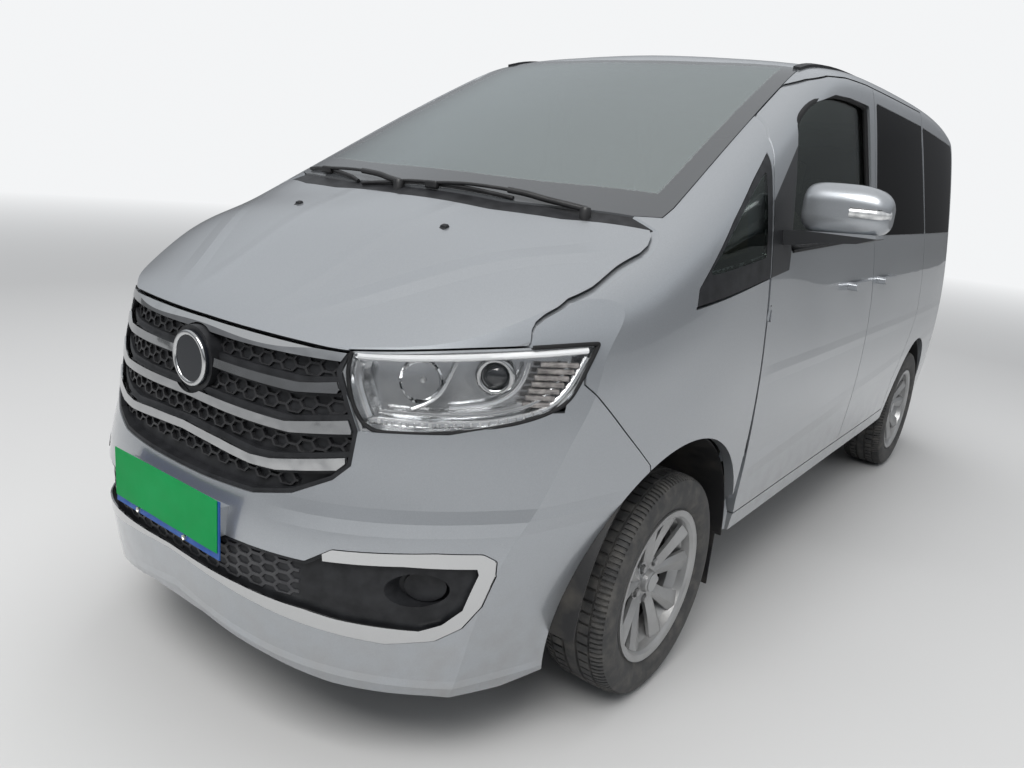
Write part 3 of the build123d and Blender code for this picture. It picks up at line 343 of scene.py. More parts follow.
# Every second step of the shoulder and every fourth of the ribs is cut into a groove.
groove_edge, groove_depth = 0.0009, 0.0050
for face in tyre.data.polygons:
    x, y, z = face.center
    step_no = round(math.atan2(z, y) / (2 * math.pi) * tread_steps - 0.5) % tread_steps
    share, radius = abs(x) / tyre_half, math.hypot(y, z)
    on_shoulder = 0.60 < share < 0.93 and radius > 0.304 and step_no % 2 == 0
    on_rib = 0.25 < share < 0.52 and radius > 0.318 and step_no % 4 == (0 if x > 0 else 2)
    face.select = on_shoulder or on_rib
bpy.ops.object.mode_set(mode="EDIT")
bpy.ops.mesh.inset(thickness=groove_edge)
bpy.ops.transform.shrink_fatten(value=-groove_depth)
bpy.ops.object.mode_set(mode="OBJECT")
pick_by("VERT")

rubber, main, place = finish("tyre_rubber", (0.046, 0.046, 0.047), 0.72)
scuff = grain(place, 26.0, 6.0, 0.6).over(0.42, 0.70)
feed(main, Base_Color=(scuff * 0.7).tint((0.040, 0.040, 0.041), (0.13, 0.124, 0.115)), Roughness=0.66 + scuff * 0.22,
     Normal=grain(place, 420.0, 2.0).lift(0.25, 0.0008))
for corner in wheel_sides:
    low, high = corners_of("tyre_" + corner)
    copy = own_copy(tyre)
    copy.location = (low + high) / 2
    settle(copy, "road_tyre_" + corner, rubber, "wheel_" + corner, 40)
    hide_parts("tyre_" + corner)
bpy.data.objects.remove(tyre)


# ------------------------------------------------------------------ wheels
# Cast alloy wheels in silver lacquer on iron brake discs: a small cap closes
# the hub, and brake dust lies between the spokes.
def part(place, axis):
    """One coordinate of the place."""
    return place.node("SeparateXYZ", None, {0: place}, out="XYZ".index(axis))


alloy, main, place = finish("alloy_lacquer", (0.50, 0.505, 0.51), 0.30, 0.75)
disc_side = 0.754               # the iron disc lies inboard of this
inboard = 1 - abs(part(place, "X")).over(disc_side, disc_side + 0.004)
film = grain(place, 14.0, 3.0, 0.5).over(0.42, 0.80)
bare = inboard.tint((film * 0.4).tint((0.40, 0.402, 0.405), (0.25, 0.24, 0.225)), (0.060, 0.058, 0.056))
feed(main, Base_Color=bare, Roughness=0.34 + film * 0.16 + inboard * 0.2,
     Metallic=0.70 - film * 0.15, Normal=grain(place, 300.0, 1.0).lift(0.015, 0.0006))
cap_grey, main, place = finish("hub_cap_satin", (0.42, 0.425, 0.43), 0.34, 0.7)
feed(main, Roughness=0.28 + grain(place, 60.0, 3.0) * 0.16)
cap_radius, cap_thick, cap_side = 0.027, 0.004, 0.8103
for corner, side in wheel_sides.items():
    wear(alloy, "wheel_" + corner)
    low, high = corners_of("wheel_" + corner)
    middle = (low + high) / 2
    bpy.ops.mesh.primitive_cylinder_add(vertices=40, radius=cap_radius, depth=cap_thick, rotation=(0, math.pi / 2, 0),
                                        location=(side * cap_side, middle.y, middle.z))
    cap = bpy.context.object
    bpy.ops.object.transform_apply(location=False, rotation=True, scale=True)
    for face in cap.data.polygons:
        face.select = face.normal.x * side > 0.9
    bpy.ops.object.mode_set(mode="EDIT")
    pick_by("FACE")
    for rim, step in ((0.004, -0.0015), (0.006, 0.0012)):
        bpy.ops.mesh.inset(thickness=rim)
        bpy.ops.transform.translate(value=(side * step, 0, 0))
    pick_by("VERT")
    bpy.ops.object.mode_set(mode="OBJECT")
    settle(cap, "hub_cap_" + corner, cap_grey, "wheel_" + corner)

# ------------------------------------------------------------------ painted panels
# Pressed steel and moulded bumpers in one silver metallic lacquer, under a
# clear coat, with a little road dust low down. The cabin's side of the doors
# and body sides is moulded trim.
silver, silver_dark, silver_light = (0.385, 0.405, 0.43), (0.36, 0.38, 0.405), (0.415, 0.435, 0.46)
dust_brown = (0.26, 0.24, 0.215)
trim_dark, trim_light = (0.23, 0.205, 0.175), (0.30, 0.27, 0.23)
black_plastic = (0.017, 0.018, 0.020)
fold_height = 0.0060


def ridge(off, half_width):
    """1 on a line and 0 beyond half_width of it, from the distance off it."""
    return 1 - abs(off).over(0.0, half_width)


def pressed_lines(place):
    """Height of the folds pressed into the panels: two along each side, two over the bonnet, two on the bumper."""
    x, y, z = abs(part(place, "X")), part(place, "Y"), part(place, "Z")
    flank = x.over(0.80, 0.82) * y.over(-0.93, -0.80)
    upper_side = ridge(z - 0.867, 0.030) * flank
    lower_side = ridge(z - (0.606 + y * 0.054), 0.040) * flank
    over_bonnet = z.over(1.03, 1.10) * (1 - y.over(-1.62, -1.50))
    outer_fold = ridge(x - (0.300 + (y + 2.045) * 0.779), 0.050) * over_bonnet
    inner_fold = ridge(x - (0.150 + (y + 2.10) * 0.10), 0.040) * over_bonnet
    ahead = 1 - y.over(-1.66, -1.58)
    bumper_fold = ridge(z - 0.655, 0.030) * ahead * x.over(0.30, 0.46)
    chin = ridge(z - (0.345 - x * 0.16), 0.022) * ahead * (1 - y.over(-1.80, -1.70))
    return upper_side * 0.7 + lower_side + outer_fold * 0.8 + inner_fold * 0.4 + bumper_fold * 0.6 + chin * 0.8


def trimmed(place):
    """1 on the cabin's side of the doors and body sides, which carries moulded trim instead of lacquer."""
    x, y, z = abs(part(place, "X")), part(place, "Y"), part(place, "Z")
    skin = 0.868 - z.over(0.90, 1.76) ** 1.6 * 0.130
    inside_skin = (skin - 0.042 - x).over(0.0, 0.002) * x.over(0.600, 0.602)
    beside_cabin = (y + 0.92).over(0.0, 0.002) * (2.00 - y).over(0.0, 0.002) * (1.79 - z).over(0.0, 0.002)
    above_step = (z - 0.460 - y.over(1.60, 1.70) * 0.20).over(0.0, 0.002)
    front_pillar = z.over(1.24, 1.242) * (0.15 - y).over(0.0, 0.002)
    return inside_skin * beside_cabin * above_step * (1 - front_pillar)


def lacquer(name, black_where=None):
    """Silver lacquer. `black_where` turns a place into a mask of what is black moulding instead."""
    clear_coat = {"Coat Weight": 1.0, "Coat Roughness": 0.035, "Coat IOR": 1.5}
    material, main, place = finish(name, silver, 0.32, 0.72, **clear_coat)
    flake = place.node("TexVoronoi", None, {"Vector": place, "Scale": 1100.0}, out=1)
    speck = place.node("SeparateColor", None, {0: flake})
    low = 1 - part(place, "Z").over(0.20, 0.60)
    dust = low * grain(place, 15.0, 5.0).over(0.36, 0.74)
    colour = (dust * 0.4).tint(speck.tint(silver_dark, silver_light), dust_brown)
    rough = 0.30 + grain(place, 2.2, 3.0) * 0.06 + dust * 0.25
    metal = 0.74 - dust * 0.45
    inside = trimmed(place)
    colour = inside.tint(colour, grain(place, 40.0, 3.0).over(0.3, 0.8).tint(trim_dark, trim_light))
    rough = rough * (1 - inside) + inside * 0.75
    metal = metal * (1 - inside)
    coat = 1 - inside
    if black_where:
        black = black_where(place)
        colour = black.tint(colour, black_plastic)
        rough = rough * (1 - black) + black * 0.42
        metal = metal * (1 - black)
        coat = (1 - black * 0.85) * coat
    height = pressed_lines(place) * fold_height + grain(place, 240.0, 1.0) * 0.000012
    feed(main, Base_Color=colour, Roughness=rough, Metallic=metal, Coat_Weight=coat, Normal=height.lift(1.0, 1.0))
    return material


paint = lacquer("silver_lacquer")
wear(paint, "bonnet", "front_fender_left", "front_fender_right", "front_bumper", "rear_bumper", "roof_panel",
     "sliding_door_left", "sliding_door_right", "side_frame_left", "side_frame_right", "tailgate")

# The front doors carry a black sail over their front edge, which runs up to
# a point beside the fixed corner window.
sail_foot, sail_y, sail_lean = 1.165, -0.762, 0.20
sail_tip_y, sail_tip_z, sail_tip_slope = -0.900, 1.390, 0.81
sharp = 0.0006                  # half the width over which the sail's edge turns to black


def sail(place):
    """1 on the black sail of a front door."""
    y, z = part(place, "Y"), part(place, "Z")
    ahead_of = (sail_y + (z - 1.205) * sail_lean - y).over(-sharp, sharp)
    above = (z - (sail_foot + (y + 0.925) * 0.105)).over(-sharp, sharp)
    below = (sail_tip_z + (y - sail_tip_y) * sail_tip_slope - z).over(-sharp, sharp)
    return ahead_of * above * below


door_paint = lacquer("silver_lacquer_black_sail", sail)
wear(door_paint, "front_door_left", "front_door_right")

# The mirror's cap is lacquered, and its foot and lower edge are black.
foot_top = 1.307
mirror_paint = lacquer("silver_cap_black_foot", lambda place: 1 - part(place, "Z").over(foot_top, foot_top + 0.001))
wear(mirror_paint, "mirror_left", "mirror_right")


# ------------------------------------------------------------------ windows
# Laminated windscreen and tempered door glass with a faint green cast and a
# pale sheen, and dark glass behind the front doors.
def pane(name, tint, clear, mirror_low, mirror_high=0.9, frit=None):
    """Glass that lets `clear` through, and shines from mirror_low face on to mirror_high at a graze."""
    material, main, place = finish(name, tint, 0.015, 0.0, **{"Specular IOR Level": 1.0})
    tree = material.node_tree
    through = place.node("BsdfTransparent", None, {"Color": clear})
    graze = place.node("Fresnel", None, {"IOR": 1.5}).over(0.03, 0.9)
    amount = mirror_low + graze * (mirror_high - mirror_low)
    if frit:
        border = frit(place)
        feed(main, Base_Color=border.tint(tint, (0.060, 0.064, 0.069)), Metallic=1 - border,
             Roughness=border * 0.16 + 0.012)
        amount = amount.most(border)
    else:
        main.inputs["Metallic"].default_value = 1.0
    mixed = place.node("MixShader", None, {0: amount, 1: through, 2: Wire(tree, main.outputs[0])})
    tree.links.new(mixed.socket, tree.nodes["Material Output"].inputs["Surface"])
    return material


# Plan of the windscreen's edges: how far back its foot and head lie, and half its width.
foot_y, foot_bend, head_y, head_bend = -1.545, 0.32, -0.445, 0.25
screen_half, screen_taper, screen_middle_y = 0.702, 0.0775, -1.38
band_foot, band_head, band_side = 0.115, 0.030, 0.058


def screen_band(place):
    """1 on the black ceramic border fired on to the windscreen, which breaks up into dots at its edge."""
    x, y = part(place, "X"), part(place, "Y")
    from_foot = y - foot_y - x * x * foot_bend
    from_head = head_y + x * x * head_bend - y
    from_side = screen_half - (y - screen_middle_y) * screen_taper - abs(x)
    dot = place.node("TexVoronoi", None, {"Vector": place, "Scale": 170.0})
    edge = (from_foot - band_foot).least(from_head - band_head).least(from_side - band_side)
    return 1 - (edge + dot * 0.006).over(-0.002, 0.004)


screen_glass = pane("windscreen_glass", (0.74, 0.80, 0.80), (0.66, 0.70, 0.68), 0.44, 0.9, screen_band)
clear_glass = pane("green_tint_glass", (0.46, 0.48, 0.47), (0.58, 0.63, 0.60), 0.07, 0.7)
dark_glass = pane("dark_tint_glass", (0.19, 0.19, 0.195), (0.045, 0.045, 0.047), 0.06, 0.6)
wear(screen_glass, "windscreen")
wear(clear_glass, "door_glass_left", "door_glass_right", "quarter_glass")
wear(dark_glass, "privacy_glass", "tailgate_glass")

# ------------------------------------------------------------------ grille
# A black moulded plate with a honeycomb of open cells, four bright bars
# clipped over it, and a round boss that carries a plain disc in a bright ring.
moulding, main, place = finish("black_moulding", (0.014, 0.0145, 0.016), 0.42, 0.0, **{"Specular IOR Level": 0.28})
feed(main, Base_Color=grain(place, 30.0, 4.0).over(0.3, 0.8).tint((0.010, 0.0105, 0.012), (0.026, 0.027, 0.030)),
     Roughness=0.36 + grain(place, 12.0, 4.0) * 0.2, Normal=grain(place, 700.0, 1.0).lift(0.10, 0.0004))
wear(moulding, "grille", "lower_intake", "cowl_panel", "quarter_trim", "roof_strips")
chrome, main, place = finish("bright_chrome", (0.58, 0.585, 0.59), 0.06, 1.0)
feed(main, Roughness=0.04 + grain(place, 9.0, 5.0).over(0.35, 0.8) * 0.14,
     Normal=grain(place, 22.0, 1.0).lift(0.6, 0.002))
wear(chrome, "grille_bars", "fog_bezels")

nose_y = solid_low[1]
nose_knee = 0.69                # height at which the nose turns from leaning forward to leaning back
nose_bow = 1.06                 # the nose falls back by |x| cubed over this


def nose_back(x, z):
    """How far back the nose's skin lies at this place across and up."""
    rise = z - nose_knee
    line = 0.040 + 0.150 * rise + 0.150 * rise * rise if rise > 0 else 0.040 + 0.21 * rise + 0.62 * rise * rise
    return nose_y + line + abs(x) ** 3 / nose_bow


def comb_plastic(name, shade):
    """Black plastic at this brightness, a little greyer where it is worn."""
    material, main, place = finish(name, (shade, shade, shade * 1.1), 0.36, 0.0, **{"Specular IOR Level": 0.35})
    worn = (shade * 1.6, shade * 1.62, shade * 1.7)
    feed(main, Base_Color=grain(place, 24.0, 4.0).over(0.3, 0.8).tint((shade * 0.8, shade * 0.8, shade * 0.9), worn),
         Roughness=0.30 + grain(place, 14.0, 4.0) * 0.2)
    return material


def with_modifier(piece, kind, **settings):
    """Adds one modifier and applies it."""
    alone(piece)
    made = piece.modifiers.new(kind.lower(), kind)
    for name, value in settings.items():
        setattr(made, name, value)
    bpy.ops.object.modifier_apply(modifier=made.name)
    return piece


def repeat(piece, count, step):
    """An applied row of this many copies, each one step from the last."""
    with_modifier(piece, "ARRAY", count=count, use_relative_offset=False, use_constant_offset=True,
                  constant_offset_displace=step)


def tidy_mesh(piece, gap=0.00005):
    """Merges doubles and turns every face outwards."""
    alone(piece)
    bpy.ops.object.mode_set(mode="EDIT")
    bpy.ops.mesh.select_all(action="SELECT")
    bpy.ops.mesh.remove_doubles(threshold=gap)
    bpy.ops.mesh.normals_make_consistent(inside=False)
    bpy.ops.object.mode_set(mode="OBJECT")
    return piece


def honeycomb(name, cell, rise, wall, low, high, reach, deep, thick, plastic):
    """Six-sided open cells over a band of the nose, cut at the band's ends, bent to its curve."""
    bpy.ops.object.select_all(action="DESELECT")
    bpy.ops.mesh.primitive_circle_add(vertices=6, radius=0.5, fill_type="NGON", rotation=(math.pi / 2, 0, 0))
    lattice = bpy.context.object
    alone(lattice)
    bpy.ops.object.transform_apply(location=False, rotation=True, scale=True)
    across = max(v.co.x for v in lattice.data.vertices) * 2
    tall = max(v.co.z for v in lattice.data.vertices) * 2
    turned = across < tall
    for v in lattice.data.vertices:
        x, z = (v.co.z, v.co.x) if turned else (v.co.x, v.co.z)
        v.co = (x * cell / max(across, tall), 0, z * rise / min(across, tall))
    bpy.ops.object.mode_set(mode="EDIT")
    bpy.ops.mesh.select_all(action="SELECT")
    bpy.ops.mesh.inset(thickness=wall / 2)
    bpy.ops.mesh.delete(type="FACE")
    bpy.ops.mesh.select_all(action="SELECT")
    bpy.ops.mesh.duplicate()
    bpy.ops.transform.translate(value=(cell * 0.75, 0, rise / 2))
    bpy.ops.object.mode_set(mode="OBJECT")
    repeat(lattice, math.ceil(2 * reach / (cell * 1.5)) + 1, (cell * 1.5, 0, 0))
    repeat(lattice, math.ceil((high - low) / rise) + 2, (0, 0, rise))
    lattice.location = (-reach - cell / 4, 0, low - rise / 2)
    bpy.ops.object.transform_apply(location=True)
    bpy.ops.object.mode_set(mode="EDIT")
    bpy.ops.mesh.select_all(action="SELECT")
    bpy.ops.mesh.remove_doubles(threshold=0.0002)
    ends = {(0, 0, low): (0, 0, -1), (0, 0, high): (0, 0, 1), (reach, 0, 0): (1, 0, 0), (-reach, 0, 0): (-1, 0, 0)}
    for point, way in ends.items():
        bpy.ops.mesh.select_all(action="SELECT")
        bpy.ops.mesh.bisect(plane_co=point, plane_no=way, clear_outer=True)
    bpy.ops.object.mode_set(mode="OBJECT")
    with_modifier(lattice, "SOLIDIFY", thickness=thick, offset=0)
    tidy_mesh(lattice)
    for v in lattice.data.vertices:
        v.co.y += nose_back(v.co.x, v.co.z) + deep + thick / 2
    return settle(lattice, name, plastic, "body", 30)


grille_comb = comb_plastic("grille_comb_plastic", 0.020)
# The intake's comb is black plastic at twice the grille's shade. The extra lightness is a painted sheen that stands in
# for the light it reflects.
painted_sheen_intake_comb = comb_plastic("painted_sheen_intake_plastic", 0.040)
# Between the bars: the lower and upper edge of each band, and how far it reaches to each side.
comb_bands = {"honeycomb_top": (0.940, 0.984, 0.402), "honeycomb_upper": (0.856, 0.912, 0.430),
              "honeycomb_middle": (0.776, 0.826, 0.450), "honeycomb_lower": (0.700, 0.736, 0.355)}
for name, (low, high, reach) in comb_bands.items():
    honeycomb(name, cell=0.042, rise=0.027, wall=0.005, low=low, high=high, reach=reach, deep=0.017, thick=0.009,
              plastic=grille_comb)

badge_low, badge_high = corners_of("badge")
badge_middle = (badge_low + badge_high) / 2
badge_radius = (badge_high.x - badge_low.x) / 2
ring_half, ring_flat = 0.0062, 0.8
bpy.ops.mesh.primitive_torus_add(major_radius=badge_radius - 0.006, minor_radius=ring_half, major_segments=96,
                                 minor_segments=16, rotation=(math.pi / 2, 0, 0),
                                 location=(0, badge_low.y + 0.0005, badge_middle.z))
ring = bpy.context.object
ring.scale = (1, 1, ring_flat)
settle(ring, "badge_ring", chrome, "body", 60)
disc_black, main, place = finish("badge_gloss_black", (0.010, 0.012, 0.016), 0.10, 0.0, **{"Specular IOR Level": 0.3})
feed(main, Roughness=0.08 + grain(place, 40.0, 3.0) * 0.12)
wear(disc_black, "badge")

# ------------------------------------------------------------------ lower intake
# A narrow opening in the bumper, honeycomb behind the plate and a smooth
# recess with a blanked lamp hole at each side, in a bright surround.
honeycomb("honeycomb_intake", cell=0.046, rise=0.026, wall=0.007, low=0.456, high=0.552, reach=0.392, deep=0.002,
          thick=0.012, plastic=painted_sheen_intake_comb)
blank_x, blank_z, blank_deep, blank_turn = 0.600, 0.500, 0.036, math.radians(36)
blank_size = (0.094, 0.074, 0.006)
for side, side_name in ((1, "left"), (-1, "right")):
    bpy.ops.mesh.primitive_cylinder_add(vertices=40, radius=0.5, depth=blank_size[2], rotation=(math.pi / 2, 0, 0))
    cover = bpy.context.object
    cover.dimensions = blank_size
    bpy.ops.object.transform_apply(location=False, rotation=True, scale=True)
    for face in cover.data.polygons:
        face.select = face.normal.y < -0.9
    bpy.ops.object.mode_set(mode="EDIT")
    pick_by("FACE")
    for thickness, step in ((0.005, 0.0), (0.004, 0.006), (0.008, 0.0), (0.004, -0.004), (0.006, 0.0)):
        bpy.ops.mesh.inset(thickness=thickness)
        bpy.ops.transform.translate(value=(0, step, 0))
    pick_by("VERT")
    bpy.ops.object.mode_set(mode="OBJECT")
    cover.rotation_euler = (0, 0, side * blank_turn)
    cover.location = (side * blank_x, nose_back(blank_x, blank_z) + blank_deep, blank_z)
    settle(cover, "fog_blank_" + side_name, moulding, "body", 30)


# ------------------------------------------------------------------ headlamps
# A clear moulded cover over a bright housing: a faceted main reflector with
# its bulb, a projector in a polished ring, a ribbed indicator, a row of small
# lamps along the foot and a bright strip along the top.
lamp_bright, main, place = finish("lamp_bright_lining", (0.62, 0.63, 0.64), 0.16, 0.9)
feed(main, Base_Color=grain(place, 8.0, 3.0).over(0.35, 0.7).tint((0.60, 0.61, 0.62), (0.86, 0.87, 0.88)),
     Roughness=0.10 + grain(place, 30.0, 3.0) * 0.14)
wear(lamp_bright, "headlamps")
lamp_facets, main, place = finish("lamp_mirror_painted_glints", (0.62, 0.63, 0.64), 0.08, 1.0)
# The reflector's colour is painted glints: random cells from near black to near white stand in for the light its facets
# catch.
cells = place.node("TexVoronoi", {"voronoi_dimensions": "3D"}, {"Vector": place, "Scale": 85.0}, out=1)
painted_glint = place.node("SeparateColor", None, {0: cells})
feed(main, Base_Color=painted_glint.over(0.15, 0.85).tint((0.07, 0.075, 0.08), (0.94, 0.95, 0.96)),
     Roughness=0.05 + painted_glint * 0.15)
lamp_amber, main, place = finish("lamp_indicator_prisms", (0.40, 0.375, 0.36), 0.2, 0.4)
feed(main, Base_Color=grain(place, 60.0, 3.0).over(0.35, 0.7).tint((0.22, 0.205, 0.20), (0.52, 0.49, 0.47)),
     Roughness=0.14 + grain(place, 90.0, 2.0) * 0.16)
cover_clear = pane("clear_lamp_cover", (0.80, 0.82, 0.83), (0.98, 0.98, 0.98), 0.02, 0.30)
wear(cover_clear, "lamp_lenses")
lamp_dark, main, place = finish("lamp_dark_glass", (0.015, 0.017, 0.02), 0.04, 0.0, **{"Coat Weight": 1.0})
feed(main, Roughness=0.03 + grain(place, 50.0, 2.0) * 0.05)
lamp_clear, main, place = finish("lamp_clear_prisms", (0.72, 0.73, 0.73), 0.10, 0.55)
feed(main, Base_Color=grain(place, 45.0, 3.0).over(0.4, 0.66).tint((0.48, 0.49, 0.50), (0.86, 0.87, 0.87)),
     Roughness=0.08 + grain(place, 90.0, 2.0) * 0.16)
lamp_white, main, place = finish("lamp_white_strip", (0.86, 0.87, 0.88), 0.18, 0.15, **{"Coat Weight": 0.8})
feed(main, Roughness=0.16 + grain(place, 25.0, 3.0) * 0.10)


def spun(name, profile, steps, at, aim):
    """Turns a line of (along, radius) points about an axis that starts at `at` and points along `aim`."""
    outline = bpy.data.meshes.new(name)
    edges = [(k, k + 1) for k in range(len(profile) - 1)]
    outline.from_pydata([(radius, 0, along) for along, radius in profile], edges, [])
    piece = bpy.data.objects.new(name, outline)
    bpy.context.scene.collection.objects.link(piece)
    alone(piece)
    bpy.ops.object.mode_set(mode="EDIT")
    bpy.ops.mesh.select_all(action="SELECT")
    bpy.ops.mesh.spin(steps=steps, angle=2 * math.pi, center=(0, 0, 0), axis=(0, 0, 1))
    bpy.ops.object.mode_set(mode="OBJECT")
    tidy_mesh(piece)
    piece.matrix_world = Matrix.Translation(Vector(at)) @ Vector(aim).to_track_quat("Z", "Y").to_matrix().to_4x4()
    return piece


def strip_along(name, points, width, cyclic=False):
    """A bar of round section that follows points in space."""
    path = bpy.data.curves.new(name, "CURVE")
    path.dimensions = "3D"
    run = path.splines.new("NURBS")
    run.points.add(len(points) - 1)
    for spot, point in zip(run.points, points):
        spot.co = (*point, 1)
    run.use_cyclic_u = cyclic
    run.use_endpoint_u = not cyclic
    run.order_u = 3
    path.resolution_u = 6
    path.bevel_mode = "ROUND"
    path.bevel_depth = width / 2
    path.bevel_resolution = 3
    path.use_fill_caps = True
    piece = bpy.data.objects.new(name, path)
    bpy.context.scene.collection.objects.link(piece)
    alone(piece)
    bpy.ops.object.convert(target="MESH")
    return bpy.context.object


def mirrored(piece, name):
    """The same piece for the other side of the van."""
    copy = own_copy(piece)
    alone(copy)
    copy.scale = (-1, 1, 1)
    bpy.ops.object.transform_apply(location=True, rotation=True, scale=True)
    tidy_mesh(copy)
    copy.name = copy.data.name = name
    return copy


def pair(piece, name, material, smooth=35, body="body"):
    """Finishes a piece of the left side as name_left and its mirror image as name_right."""
    settle(piece, name + "_left", material, body.replace("SIDE", "left"), smooth)
    settle(mirrored(piece, name), name + "_right", material, body.replace("SIDE", "right"), smooth)


def lamp_place(x, z, deep):
    """A point this far behind the nose's skin."""
    return Vector((x, nose_back(x, z) + deep, z))


def lamp_bar(name, line, deep, width, material):
    """A bar on each side along (across, up) points, this far behind the nose's skin."""
    pair(strip_along("bar", [lamp_place(x, z, deep) for x, z in line], width), name, material)


bowl_place, bowl_way = lamp_place(0.527, 0.950, 0.055), (0.42, -1, 0.02)
bowl_line = [(-0.040, 0.012), (-0.038, 0.020), (-0.028, 0.031), (-0.014, 0.040), (0.0, 0.046), (0.003, 0.048),
             (0.0, 0.051), (-0.016, 0.045), (-0.032, 0.035), (-0.043, 0.022), (-0.044, 0.012)]
bulb_line = [(-0.044, 0.0), (-0.044, 0.011), (-0.030, 0.011), (-0.029, 0.007), (-0.010, 0.007), (-0.004, 0.004),
             (-0.002, 0.0)]
pair(spun("bowl", bowl_line, 24, bowl_place, bowl_way), "main_reflector", lamp_facets, 12)
pair(spun("bulb", bulb_line, 20, bowl_place, bowl_way), "main_bulb", lamp_clear)

eye_place, eye_way = lamp_place(0.642, 0.970, 0.046), (0.62, -1, 0.0)
ring_line = [(-0.030, 0.030), (-0.004, 0.029), (0.0, 0.031), (0.002, 0.036), (0.0, 0.042), (-0.004, 0.044),
             (-0.030, 0.044)]
eye_line = [(-0.030, 0.0), (-0.030, 0.028), (-0.010, 0.028), (-0.004, 0.0265), (0.003, 0.021), (0.007, 0.011),
            (0.008, 0.0)]
pair(spun("ring", ring_line, 40, eye_place, eye_way), "projector_ring", chrome, 50)
pair(spun("eye", eye_line, 36, eye_place, eye_way), "projector_lens", lamp_dark, 60)

# The indicator's ribs follow the cover from the projector to the lamp's outer edge.
for row in range(7):
    z = 0.915 + row * 0.0145
    x_from, x_to = 0.694 + 0.002 * row, 0.735 + 0.0042 * row
    run = [lamp_place(x_from + (x_to - x_from) * k / 4, z, 0.030 - 0.004 * k) for k in range(5)]
    pair(strip_along("rib", run, 0.0125), f"indicator_rib_{row + 1}", lamp_amber, 40)

foot_line = [(0.478, 0.868), (0.540, 0.866), (0.600, 0.868), (0.655, 0.874), (0.700, 0.886), (0.733, 0.905),
             (0.751, 0.940), (0.762, 0.985), (0.768, 1.020)]
lamp_bar("lamp_row_tray", foot_line, 0.016, 0.016, lamp_bright)


def set_about(master, places, turn=None):
    """Copies of one piece, each with its own mesh, at several places, joined into one. The master goes."""
    copies = [own_copy(master) for _ in places]
    for copy, at in zip(copies, places):
        copy.matrix_world = Matrix.Translation(Vector(at)) @ (turn or Matrix.Identity(4)) @ master.matrix_world
    bpy.data.objects.remove(master)
    bpy.ops.object.select_all(action="DESELECT")
    for copy in copies:
        copy.select_set(True)
    bpy.context.view_layer.objects.active = copies[0]
    bpy.ops.object.join()
    bpy.ops.object.transform_apply(location=True, rotation=True, scale=True)
    return bpy.context.object


# Small square lamps stand on the tray, evenly along its level part.
bead_count, bead_size, bead_deep = 22, (0.0085, 0.006, 0.0085), 0.0085
foot_run = foot_line[:6]
lengths = [0.0]
for (xa, za), (xb, zb) in zip(foot_run, foot_run[1:]):
    lengths.append(lengths[-1] + math.hypot(xb - xa, zb - za))
bpy.ops.mesh.primitive_cube_add(size=1, location=(0, 0, 0))
bead = bpy.context.object
bead.dimensions = bead_size
bpy.ops.object.transform_apply(location=True, rotation=True, scale=True)
with_modifier(bead, "BEVEL", width=0.0018, segments=2)
spots = []
for k in range(bead_count):
    run = (k + 0.5) / bead_count * lengths[-1]
    leg = max(j for j in range(len(foot_run) - 1) if lengths[j] <= run)
    share = (run - lengths[leg]) / (lengths[leg + 1] - lengths[leg])
    (xa, za), (xb, zb) = foot_run[leg], foot_run[leg + 1]
    spots.append(lamp_place(xa + (xb - xa) * share, za + (zb - za) * share + 0.0005, bead_deep))
pair(set_about(bead, spots), "lamp_row", lamp_clear, 30)

lamp_bar("lamp_top_strip", [(0.432, 0.998), (0.470, 0.999), (0.540, 1.005), (0.610, 1.013), (0.680, 1.022),
                            (0.735, 1.030), (0.768, 1.036)], 0.012, 0.016, lamp_white)
lamp_bar("lamp_inner_edge", [(0.436, 0.985), (0.434, 0.962), (0.452, 0.915), (0.474, 0.874)], 0.018, 0.020, lamp_bright)
lamp_bar("reflector_shroud", [(0.588, 0.998), (0.582, 0.950), (0.566, 0.912), (0.535, 0.895)],
         0.030, 0.011, lamp_bright)
lamp_bar("projector_shroud", [(0.690, 1.005), (0.690, 0.960), (0.668, 0.922), (0.632, 0.908), (0.592, 0.902)],
         0.030, 0.011, lamp_bright)
lamp_bar("lamp_shelf", [(0.486, 0.886), (0.560, 0.887), (0.630, 0.889), (0.690, 0.902), (0.722, 0.926), (0.738, 0.965),
                        (0.746, 1.010)], 0.020, 0.009, chrome)

rubber_black, main, place = finish("seal_rubber", (0.010, 0.010, 0.011), 0.6, 0.0, **{"Specular IOR Level": 0.3})
feed(main, Roughness=0.5 + grain(place, 60.0, 3.0) * 0.25)
seal_line = [(0.424, 1.006), (0.417, 0.962), (0.470, 0.847), (0.540, 0.848), (0.614, 0.853), (0.680, 0.869),
             (0.722, 0.886), (0.751, 0.908), (0.764, 0.930), (0.771, 0.965), (0.777, 1.005), (0.7815, 1.040),
             (0.7825, 1.051), (0.7805, 1.0515), (0.760, 1.049), (0.700, 1.0405)]
lamp_bar("lamp_seal", seal_line, 0.004, 0.010, rubber_black)

